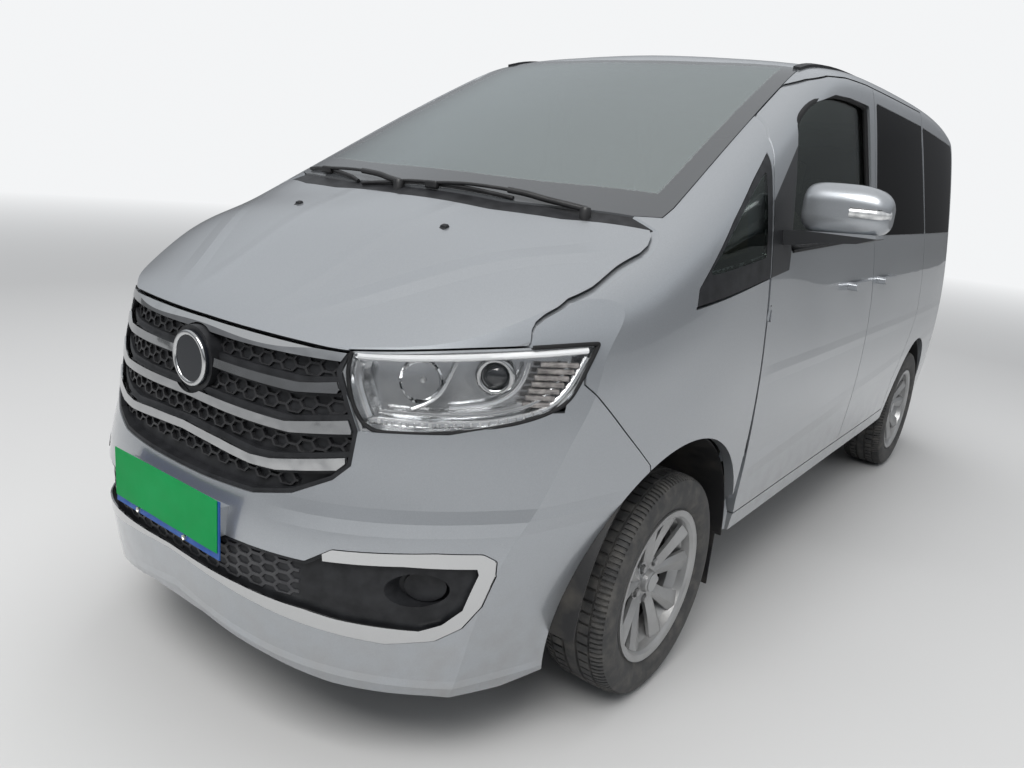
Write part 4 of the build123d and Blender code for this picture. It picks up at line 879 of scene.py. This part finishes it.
# ------------------------------------------------------------------ number plate
# A pressed plate on its holder, under a thin blank cover held by two screws
# at its foot: the plate's blue edge shows below the cover.
cover_green, main, place = finish("plate_cover_green", (0.0, 0.235, 0.065), 0.42, 0.0, **{"Specular IOR Level": 0.12})
feed(main, Base_Color=grain(place, 7.0, 4.0).over(0.3, 0.75).tint((0.0, 0.235, 0.052), (0.002, 0.290, 0.074)),
     Roughness=0.36 + grain(place, 18.0, 4.0) * 0.2)
plate_blue, main, place = finish("plate_blue", (0.010, 0.075, 0.31), 0.32, 0.0, **{"Specular IOR Level": 0.2})
feed(main, Base_Color=grain(place, 22.0, 4.0).over(0.35, 0.8).tint((0.008, 0.066, 0.29), (0.05, 0.12, 0.34)),
     Roughness=0.26 + grain(place, 30.0, 3.0) * 0.2)
wear(plate_blue, "number_plate")
plate_low, plate_high = corners_of("number_plate")
cover_low = Vector((plate_low.x + 0.001, plate_low.y - 0.0022, plate_low.z + 0.017))
cover_high = Vector((plate_high.x - 0.006, plate_low.y - 0.0006, plate_high.z + 0.003))
bpy.ops.mesh.primitive_cube_add(size=1, location=(cover_low + cover_high) / 2)
cover = bpy.context.object
cover.dimensions = cover_high - cover_low
bpy.ops.object.transform_apply(location=True, rotation=True, scale=True)
bpy.ops.object.mode_set(mode="EDIT")
bpy.ops.mesh.select_all(action="SELECT")
bpy.ops.mesh.subdivide(number_cuts=11)
bpy.ops.object.mode_set(mode="OBJECT")
# The cover waves a little between its screws, and more at its foot than above.
wave, waves_across, wavy_foot = 0.0012, 9.0, plate_low.z + 0.05
for v in cover.data.vertices:
    share = (v.co.x - cover_low.x) / (cover_high.x - cover_low.x)
    v.co.y -= wave * math.sin(share * waves_across) ** 2 * (1 if v.co.z < wavy_foot else 0.3)
settle(cover, "plate_cover", cover_green, "body", 30)


def stud(across, deep):
    """A hexagonal screw head lying on its back, its top face sunk in the middle, facing +Z."""
    bpy.ops.object.select_all(action="DESELECT")
    bpy.ops.mesh.primitive_cylinder_add(vertices=6, radius=across / 2, depth=deep, location=(0, 0, deep / 2))
    head = bpy.context.object
    bpy.ops.object.mode_set(mode="EDIT")
    bpy.ops.mesh.select_all(action="DESELECT")
    bpy.ops.object.mode_set(mode="OBJECT")
    for face in head.data.polygons:
        face.select = face.normal.z > 0.9
    bpy.ops.object.mode_set(mode="EDIT")
    bpy.ops.mesh.inset(thickness=across * 0.12)
    bpy.ops.mesh.inset(thickness=across * 0.10)
    bpy.ops.transform.translate(value=(0, 0, -deep * 0.35))
    bpy.ops.object.mode_set(mode="OBJECT")
    return head


screw_metal, main, place = finish("zinc_screw", (0.60, 0.59, 0.55), 0.28, 1.0)
feed(main, Roughness=0.22 + grain(place, 200.0, 3.0) * 0.25)
facing_front = Matrix.Rotation(math.radians(90), 4, "X")
screw_places = [(x, plate_low.y + 0.0004, plate_low.z + 0.009) for x in (-0.115, 0.085)]
screws = set_about(stud(0.014, 0.006), screw_places, facing_front)
settle(screws, "plate_screws", screw_metal, "body", 30)

# ------------------------------------------------------------------ scuttle, washers and wipers
# Moulded scuttle panel under the screen, two washer jets through the bonnet,
# and two pressed arms with rubber blades on splined posts.
jet_places = [(x, -1.730, 1.2415) for x in (-0.284, 0.284)]
bonnet_lean = Matrix.Rotation(math.radians(20), 4, "X")
bpy.ops.mesh.primitive_cube_add(size=1, location=(0, 0, 0.004))
jet = bpy.context.object
jet.dimensions = (0.020, 0.026, 0.012)
bpy.ops.object.transform_apply(location=True, rotation=True, scale=True)
with_modifier(jet, "BEVEL", width=0.0045, segments=3)
for v in jet.data.vertices:
    if v.co.z > 0.005:
        v.co.y = v.co.y * 0.6 + 0.003
settle(set_about(jet, jet_places, bonnet_lean), "washer_jets", moulding, "bonnet", 40)

arm_black, main, place = finish("wiper_black", (0.016, 0.016, 0.017), 0.38)
feed(main, Base_Color=grain(place, 20.0, 4.0).over(0.4, 0.8).tint((0.012, 0.012, 0.013), (0.035, 0.035, 0.037)),
     Roughness=0.30 + grain(place, 40.0, 4.0) * 0.25)


def on_screen(x, y, up):
    """A point this far over the windscreen, or over the scuttle where it ends."""
    for node in ("windscreen", "cowl_panel"):
        found, spot, normal, _ = nodes[node].ray_cast(Vector((x, y, 2.2)), Vector((0, 0, -1)))
        if found:
            return spot + Vector((0, 0, up))
    raise SystemExit(f"no glass under {x}, {y}")


def over_screen(name, a, b, shares, up, width):
    """A bar over the glass between two points in plan, at these shares of the way and up(share) over it."""
    run = [on_screen(a[0] + (b[0] - a[0]) * share, a[1] + (b[1] - a[1]) * share, up(share)) for share in shares]
    return strip_along(name, run, width)


def rounded(low, high, soft, segments=3):
    """A moulded block with soft edges between two corners."""
    bpy.ops.object.select_all(action="DESELECT")
    low, high = Vector(low), Vector(high)
    bpy.ops.mesh.primitive_cube_add(size=1, location=(low + high) / 2)
    piece = bpy.context.object
    piece.dimensions = high - low
    bpy.ops.object.transform_apply(location=True, rotation=True, scale=True)
    return with_modifier(piece, "BEVEL", width=soft, segments=segments)


blade_shares = [k / 10 for k in range(11)]
arm_shares = [k / 6 for k in range(5)]
shank_shares = [0.52 + k * 0.12 for k in range(5)]
post_line = [(-0.012, 0.0), (-0.012, 0.015), (0.012, 0.0155), (0.020, 0.012), (0.024, 0.0)]
# In plan: the blade's tip and heel, where the arm grips it, and the arm's root.
wiper_runs = {"left": ((-0.215, -1.552), (0.330, -1.516), (0.060, -1.543), (0.540, -1.486)),
              "right": ((-0.640, -1.400), (-0.250, -1.536), (-0.470, -1.470), (-0.060, -1.554))}
for side_name, (tip, heel, grip, root) in wiper_runs.items():
    parts = [over_screen("rubber", tip, heel, blade_shares, lambda share: 0.0045, 0.006),
             over_screen("spine", tip, heel, blade_shares, lambda share: 0.011 - 0.004 * (share * 2 - 1) ** 2, 0.011),
             over_screen("arm", grip, root, arm_shares, lambda share: 0.020 + 0.004 * math.sin(share * math.pi), 0.010),
             over_screen("shank", grip, root, shank_shares, lambda share: 0.023 - (share - 0.52) / 120, 0.017)]
    x, y, z = on_screen(*grip, 0.010)
    parts.append(rounded((x - 0.022, y - 0.009, z - 0.006), (x + 0.022, y + 0.009, z + 0.016), 0.005))
    parts.append(spun("post", post_line, 24, on_screen(*root, 0.004), (0, 0, 1)))
    for piece in parts:
        place_in_mesh(piece)
    alone(parts[0])
    for piece in parts[1:]:
        piece.select_set(True)
    bpy.ops.object.join()
    settle(parts[0], "wiper_" + side_name, arm_black, "body", 40)
    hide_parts("wipers")

# ------------------------------------------------------------------ door mirrors
# Moulded cap over a folding foot, a repeater lamp wrapped round the cap's
# outer end, and a bright glass behind.
mirror_low, mirror_high = corners_of("mirror_left")
repeater_z, repeater_tall = 1.372, 2.1
wrap_round = [(1.010, -0.0002), (1.040, 0.0008), (1.068, 0.0045), (1.088, 0.0125), (1.102, 0.028), (1.1085, 0.045)]
lens_run = [(x, mirror_low.y + dip, repeater_z) for x, dip in wrap_round]
lens = strip_along("lens", lens_run, 0.012)
for v in lens.data.vertices:
    v.co.z = repeater_z + (v.co.z - repeater_z) * repeater_tall
pair(lens, "mirror_repeater", lamp_clear, 50, "front_door_SIDE")
repeater_edge = strip_along("edge", [(x, y - 0.0005, repeater_z + 0.0135) for x, y, _ in lens_run], 0.0032)
pair(repeater_edge, "mirror_repeater_edge", lamp_dark, 50, "front_door_SIDE")

mirror_silver, main, place = finish("mirror_glass", (0.82, 0.84, 0.85), 0.03, 1.0)
feed(main, Roughness=0.02 + grain(place, 6.0, 3.0) * 0.03)
bpy.ops.mesh.primitive_cube_add(size=1, location=(0.990, mirror_high.y - 0.0285, 1.377))
glass = bpy.context.object
glass.dimensions = (0.188, 0.004, 0.110)
bpy.ops.object.transform_apply(location=True, rotation=True, scale=True)
bpy.ops.object.mode_set(mode="EDIT")
pick_by("EDGE")
bpy.ops.object.mode_set(mode="OBJECT")
for edge in glass.data.edges:
    a, b = (glass.data.vertices[k].co for k in edge.vertices)
    edge.select = abs(a.y - b.y) > 0.001
bpy.ops.object.mode_set(mode="EDIT")
bpy.ops.mesh.bevel(offset=0.034, segments=7)
pick_by("VERT")
bpy.ops.object.mode_set(mode="OBJECT")
pair(glass, "mirror_glass", mirror_silver, 30, "front_door_SIDE")

# ------------------------------------------------------------------ door and window seals
# Extruded rubber channels round each front door's glass and along the foot
# of its window, pressed on to the metal edge.
side_profile = [(0.800, 0.868), (0.950, 0.866), (1.090, 0.856), (1.200, 0.841), (1.290, 0.826), (1.490, 0.790),
                (1.760, 0.742), (1.930, 0.712)]


def between(points, z):
    """The second number of (height, value) points at this height, straight between them."""
    for (z0, value0), (z1, value1) in zip(points, points[1:]):
        if z <= z1:
            break
    return value0 + (value1 - value0) * (z - z0) / (z1 - z0)


door_window = [(-0.765, 1.236), (-0.740, 1.360), (-0.708, 1.520), (-0.685, 1.615), (-0.620, 1.655), (-0.540, 1.690),
               (-0.430, 1.720), (-0.320, 1.742), (-0.140, 1.752), (0.080, 1.752), (0.106, 1.735), (0.125, 1.640),
               (0.160, 1.480), (0.192, 1.290), (0.186, 1.270), (0.0, 1.262), (-0.40, 1.248)]
window_sill = [(-0.740, 1.236), (-0.30, 1.252), (0.19, 1.268)]
channel_run = [(between(side_profile, z) - 0.016, y, z) for y, z in door_window]
wipe_run = [(between(side_profile, z) + 0.001, y, z) for y, z in window_sill]
pair(strip_along("channel", channel_run, 0.020, cyclic=True), "door_window_seal", rubber_black,
     body="front_door_SIDE")
pair(strip_along("wipe", wipe_run, 0.009), "door_waist_strip", rubber_black, body="front_door_SIDE")

# ------------------------------------------------------------------ dashboard and steering wheel
# Grained moulding in dark brown and beige, a hooded dial cluster, a centre
# stack with air vents and a screen, and a leather covered steering wheel.
dash_grain, main, place = finish("dash_grain", (0.10, 0.085, 0.07), 0.62, 0.0, **{"Specular IOR Level": 0.3})
leather = place.node("TexVoronoi", None, {"Vector": place, "Scale": 420.0})
upper = part(place, "Z").over(1.120, 1.128)
feed(main, Base_Color=upper.tint((0.33, 0.27, 0.205), (0.065, 0.056, 0.048)), Normal=leather.lift(0.35, 0.0008),
     Roughness=0.58 + grain(place, 40.0, 3.0) * 0.12)
wear(dash_grain, "dashboard")
hide, main, place = finish("wheel_leather", (0.022, 0.021, 0.021), 0.5)
pores = place.node("TexVoronoi", None, {"Vector": place, "Scale": 620.0})
feed(main, Normal=pores.lift(0.4, 0.0006), Roughness=0.42 + grain(place, 30.0, 3.0) * 0.2)
wear(hide, "steering_wheel")
screen_face, main, place = finish("stack_screen", (0.010, 0.012, 0.015), 0.08)
feed(main, Roughness=0.06 + grain(place, 30.0, 3.0) * 0.08)

dash_back = corners_of("dashboard")[1].y
hood_x, hood_half, hood_front, hood_back, hood_foot, hood_top = 0.370, 0.19, -0.920, -0.720, 1.120, 1.215
hood = rounded((hood_x - hood_half, hood_front, hood_foot), (hood_x + hood_half, hood_back, hood_top), 0.045, 5)
for v in hood.data.vertices:
    share = (v.co.x - hood_x) / hood_half
    if v.co.z > 1.16:
        v.co.z -= 0.030 * share * share
settle(hood, "dial_hood", dash_grain, "body", 40)
stack_half, stack_lean, lean_from = 0.135, 0.10, 0.95
stack = rounded((-stack_half, dash_back - 0.100, 0.700), (stack_half, dash_back + 0.030, 1.155), 0.020)
for v in stack.data.vertices:
    v.co.y -= stack_lean * max(0.0, v.co.z - lean_from)
settle(stack, "centre_stack", hide, "body")
display = rounded((-0.105, dash_back + 0.020, 0.985), (0.105, dash_back + 0.034, 1.105), 0.006)
settle(display, "stack_display", screen_face, "body")
vent = rounded((0, -0.006, -0.0035), (0.090, 0.006, 0.0035), 0.002, 2)
vent_places = [(x, dash_back + 0.006, 1.005 + row * 0.014) for x in (-0.60, -0.235, 0.145, 0.525) for row in range(5)]
settle(set_about(vent, vent_places), "air_vents", screen_face, "body")

# ------------------------------------------------------------------ cabin lining
# Pale moulded lining under the roof and a carpet over the floor pan, so that
# the cabin isn't bare metal.
lining, main, place = finish("cabin_lining", (0.50, 0.44, 0.36), 0.85)
weave = place.node("TexVoronoi", None, {"Vector": place, "Scale": 700.0})
feed(main, Base_Color=grain(place, 10.0, 3.0).over(0.3, 0.8).tint((0.46, 0.40, 0.325), (0.55, 0.485, 0.40)),
     Normal=weave.lift(0.3, 0.0006))
lined_width = 1.10
roof_low, roof_high = corners_of("roof_panel")
head_front, head_back = roof_low.y + 0.10, roof_high.y - 0.08
bpy.ops.mesh.primitive_grid_add(x_subdivisions=10, y_subdivisions=18, size=1)
cloth = bpy.context.object
for v in cloth.data.vertices:
    x, along = v.co.x * lined_width, v.co.y + 0.5
    crest = 1.725 + 0.118 * math.sin(min(1.0, along * 2.4) * math.pi / 2) - 0.03 * max(0.0, along - 0.6)
    v.co = (x, head_front + (head_back - head_front) * along, crest - 0.09 * x * x)
with_modifier(cloth, "SOLIDIFY", thickness=0.006, offset=1)
tidy_mesh(cloth)
settle(cloth, "roof_lining", lining, "body", 40)

carpet, main, place = finish("cabin_carpet", (0.12, 0.105, 0.09), 0.95)
feed(main, Base_Color=grain(place, 60.0, 4.0).over(0.3, 0.8).tint((0.09, 0.08, 0.07), (0.17, 0.15, 0.125)),
     Normal=grain(place, 500.0, 3.0).lift(0.6, 0.002))
rug_front, rug_long, rug_z = -0.95, 3.0, 0.4075
bpy.ops.mesh.primitive_grid_add(x_subdivisions=8, y_subdivisions=16, size=1)
rug = bpy.context.object
for v in rug.data.vertices:
    ripple = 0.002 * math.sin(v.co.x * 9) * math.sin(v.co.y * 14)
    v.co = (v.co.x * lined_width, rug_front + (v.co.y + 0.5) * rug_long, rug_z + ripple)
with_modifier(rug, "SOLIDIFY", thickness=0.005, offset=1)
tidy_mesh(rug)
settle(rug, "cabin_rug", carpet, "body", 40)

# ------------------------------------------------------------------ engine cover
# Moulded black cover with raised ribs, pressed on to rubber studs over the
# engine, and a filler cap beside it.
block_low, block_high = corners_of("engine_block")
cover_low = block_low + Vector((0.04, 0.03, 0))
cover_high = block_high + Vector((-0.04, -0.03, 0.030))
cover_low.z = block_high.z + 0.0005
settle(rounded(cover_low, cover_high, 0.010, 4), "engine_cover", moulding, "body")
rib_count, rib_margin = 6, 0.03
rib_gap = (cover_high.x - cover_low.x) / (rib_count + 3)
rib = rounded((-0.006, cover_low.y + rib_margin, 0), (0.006, cover_high.y - rib_margin, 0.010), 0.003)
ribs = set_about(rib, [(cover_low.x + rib_gap * (k + 2), 0, cover_high.z - 0.003) for k in range(rib_count)])
settle(ribs, "engine_cover_ribs", moulding, "body")
filler_line = [(0.0, 0.0), (0.0, 0.024), (0.012, 0.024), (0.016, 0.020), (0.018, 0.0)]
filler_place = (cover_high.x - 0.028, cover_low.y - 0.002, block_high.z + 0.001)
settle(spun("filler", filler_line, 28, filler_place, (0, 0, 1)), "oil_filler_cap", moulding, "body")

# ------------------------------------------------------------------ seats
# Foam cushions in beige cloth over a steel frame: two front chairs and two
# rows of two, each with a crowned seat, a shaped back and a head restraint.
cloth_beige, main, place = finish("seat_cloth_beige", (0.50, 0.43, 0.335), 0.92, 0.0, **{"Sheen Weight": 0.25})
thread = {"Vector": place, "Scale": 210.0, "Distortion": 1.5}
warp = place.node("TexWave", {"wave_type": "BANDS", "bands_direction": "X"}, thread)
weft = place.node("TexWave", {"wave_type": "BANDS", "bands_direction": "Z"}, thread)
worn = grain(place, 6.0, 4.0).over(0.30, 0.75)
feed(main, Base_Color=worn.tint((0.44, 0.375, 0.29), (0.56, 0.49, 0.39)), Roughness=0.86 + worn * 0.1,
     Normal=(warp * weft).lift(0.35, 0.0008))
frame_black, main, place = finish("seat_frame_black", (0.03, 0.03, 0.032), 0.5)
feed(main, Roughness=0.42 + grain(place, 25.0, 4.0) * 0.25)
post_steel, main, place = finish("headrest_post", (0.55, 0.55, 0.56), 0.2, 1.0)
feed(main, Roughness=0.15 + grain(place, 90.0, 3.0) * 0.15)


def cushion(name, low, high, tilt, channels, crown, waist=0.0):
    """A stuffed form between two corners: crowned faces, pulled-in sides, and sewn channels across its face."""
    low, high = Vector(low), Vector(high)
    middle, size = (low + high) / 2, high - low
    bpy.ops.object.select_all(action="DESELECT")
    bpy.ops.mesh.primitive_cube_add(size=2, location=(0, 0, 0))
    piece = bpy.context.object
    bpy.ops.object.mode_set(mode="EDIT")
    bpy.ops.mesh.select_all(action="SELECT")
    bpy.ops.mesh.subdivide(number_cuts=15)
    bpy.ops.object.mode_set(mode="OBJECT")
    for v in piece.data.vertices:
        a, b, c = v.co
        flat = (1 - abs(a) ** 3.2) * (1 - abs(b) ** 3.2)
        c *= 0.62 + (crown * flat + 0.38 - crown)
        if c > 0:
            off_seam = min(abs((a if axis == "X" else b) - seam) for seam, axis in channels)
            c -= math.exp(-(off_seam / 0.05) ** 2) * 0.16 * min(1.0, flat * 2.0)
        pull = 1 - 0.045 * (1 - abs(c)) - waist * (b + 1) / 2
        corner = 1 - 0.10 * (abs(a) * abs(b)) ** 4
        v.co = (a * pull * corner * size.x / 2, b * corner * (1 - 0.02 * (1 - abs(c))) * size.y / 2, c * size.z / 2)
    with_modifier(piece, "SUBSURF", levels=1, render_levels=1)
    piece.rotation_euler = (tilt, 0, 0)
    piece.location = middle
    settle(piece, name, cloth_beige, "body", 60)


# Heights of the floor under the seats, and of a pan and a back over it.
seat_floor, pan_foot, pan_top, back_foot = 0.405, 0.190, 0.350, 0.30
pan_lean, back_lean = math.radians(-4), math.radians(-74) - math.pi


def seat(name, side, x_in, x_out, y, top, node):
    """One seat from its pan's front edge at y, up to a back that ends at height top."""
    x0, x1 = sorted((side * x_in, side * x_out))
    mid = (x0 + x1) / 2
    cushion(name + "_cushion", (x0 + 0.004, y - 0.004, seat_floor + pan_foot),
            (x1 - 0.004, y + 0.500, seat_floor + pan_top), pan_lean,
            [(-0.62, "X"), (0.62, "X"), (-0.15, "Y"), (0.42, "Y")], crown=0.34)
    tall = top - (seat_floor + back_foot)
    middle_z, middle_y = (top + seat_floor + back_foot) / 2, y + 0.545
    cushion(name + "_back", (x0 + 0.008, middle_y - tall / 2, middle_z - 0.060),
            (x1 - 0.008, middle_y + tall / 2, middle_z + 0.060), back_lean,
            [(-0.60, "X"), (0.60, "X"), (0.35, "Y"), (-0.30, "Y")], crown=0.36, waist=0.16)
    cushion(name + "_headrest", (mid - 0.125, y + 0.595, top + 0.020), (mid + 0.125, y + 0.685, top + 0.185), 0.0,
            [(0.0, "X")], crown=0.30)
    base = rounded((x0 + 0.065, y + 0.080, seat_floor + 0.001), (x1 - 0.065, y + 0.470, seat_floor + 0.185), 0.018)
    settle(base, name + "_base", frame_black, "body", 40)
    bpy.ops.mesh.primitive_cylinder_add(vertices=20, radius=0.006, depth=0.10, location=(0, 0, 0))
    rod = with_modifier(bpy.context.object, "BEVEL", width=0.0015, segments=2)
    posts = set_about(rod, [(mid + off, y + 0.632, top + 0.005) for off in (-0.05, 0.05)])
    settle(posts, name + "_posts", post_steel, "body", 40)
    for ending in ("_cushion", "_back", "_headrest", "_base", "_posts"):
        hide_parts(node)


front_y, rear_y = corners_of("front_seats")[0].y + 0.010, corners_of("rear_seats")[0].y + 0.010
row_gap = 0.830
for side, side_name in ((1, "left"), (-1, "right")):
    seat("front_seat_" + side_name, side, 0.130, 0.630, front_y, 1.365, "front_seats")
    seat("second_row_" + side_name, side, 0.060, 0.640, rear_y, 1.305, "rear_seats")
    seat("third_row_" + side_name, side, 0.051, 0.544, rear_y + row_gap, 1.305, "rear_seats")

# ------------------------------------------------------------------ tail lamps and tailgate
# Red moulded lamps with a clear band at the rear corners, and a bright pull
# bar and a rear wiper on the tailgate.
red_lens, main, place = finish("tail_lamp_lens", (0.36, 0.008, 0.010), 0.08, 0.0, **{"Coat Weight": 1.0})
clear_z = 0.985
bands = place.node("TexWave", {"wave_type": "BANDS", "bands_direction": "Z"}, {"Vector": place, "Scale": 26.0})
clear_band = ridge(part(place, "Z") - clear_z, 0.030).over(0.0, 0.04)
feed(main, Base_Color=clear_band.tint((0.27, 0.005, 0.007), (0.50, 0.44, 0.42)), Normal=bands.lift(0.25, 0.002),
     Roughness=0.06 + grain(place, 30.0, 3.0) * 0.08)
wear(red_lens, "tail_lamps")

tail_end = 2.3225
tail_profile = [(0.560, 0.0), (0.700, -0.004), (0.950, -0.030), (1.150, -0.055), (1.400, -0.080), (1.600, -0.118),
                (1.755, -0.165)]


def on_tail(x, z, out):
    """A point this far behind the tail's skin."""
    y = tail_end + between(tail_profile, z) - x * x / 3.8 - 0.055 * (abs(x) / 0.78) ** 10
    return x, y + out, z


bar_z, blade_z = 1.105, 1.245
bar_run = [on_tail(x, bar_z, 0.004) for x in (-0.36, -0.24, -0.12, 0, 0.12, 0.24, 0.36)]
settle(strip_along("bar", bar_run, 0.028), "tailgate_bar", chrome, "tailgate", 50)
blade_run = [on_tail(x, blade_z, 0.012) for x in (-0.30, -0.15, 0.0, 0.08)]
blade_run = [(x, y, z + 0.02 * (x + 0.2)) for x, y, z in blade_run]
settle(strip_along("blade", blade_run, 0.013), "rear_wiper_blade", arm_black, "tailgate", 40)
arm_run = [(0.085, on_tail(0.08, 1.185, 0.010)[1], 1.175), (0.03, on_tail(0, 1.21, 0.022)[1], 1.205),
           (-0.11, on_tail(-0.1, 1.24, 0.022)[1], 1.240)]
settle(strip_along("arm", arm_run, 0.011), "rear_wiper_arm", arm_black, "tailgate", 40)
hub_line = [(0.0, 0.0), (0.0, 0.021), (0.010, 0.021), (0.020, 0.015), (0.022, 0.0)]
hub = spun("hub", hub_line, 28, on_tail(0.085, 1.172, 0.0), (0, 1, 0.12))
settle(hub, "rear_wiper_hub", arm_black, "tailgate", 40)
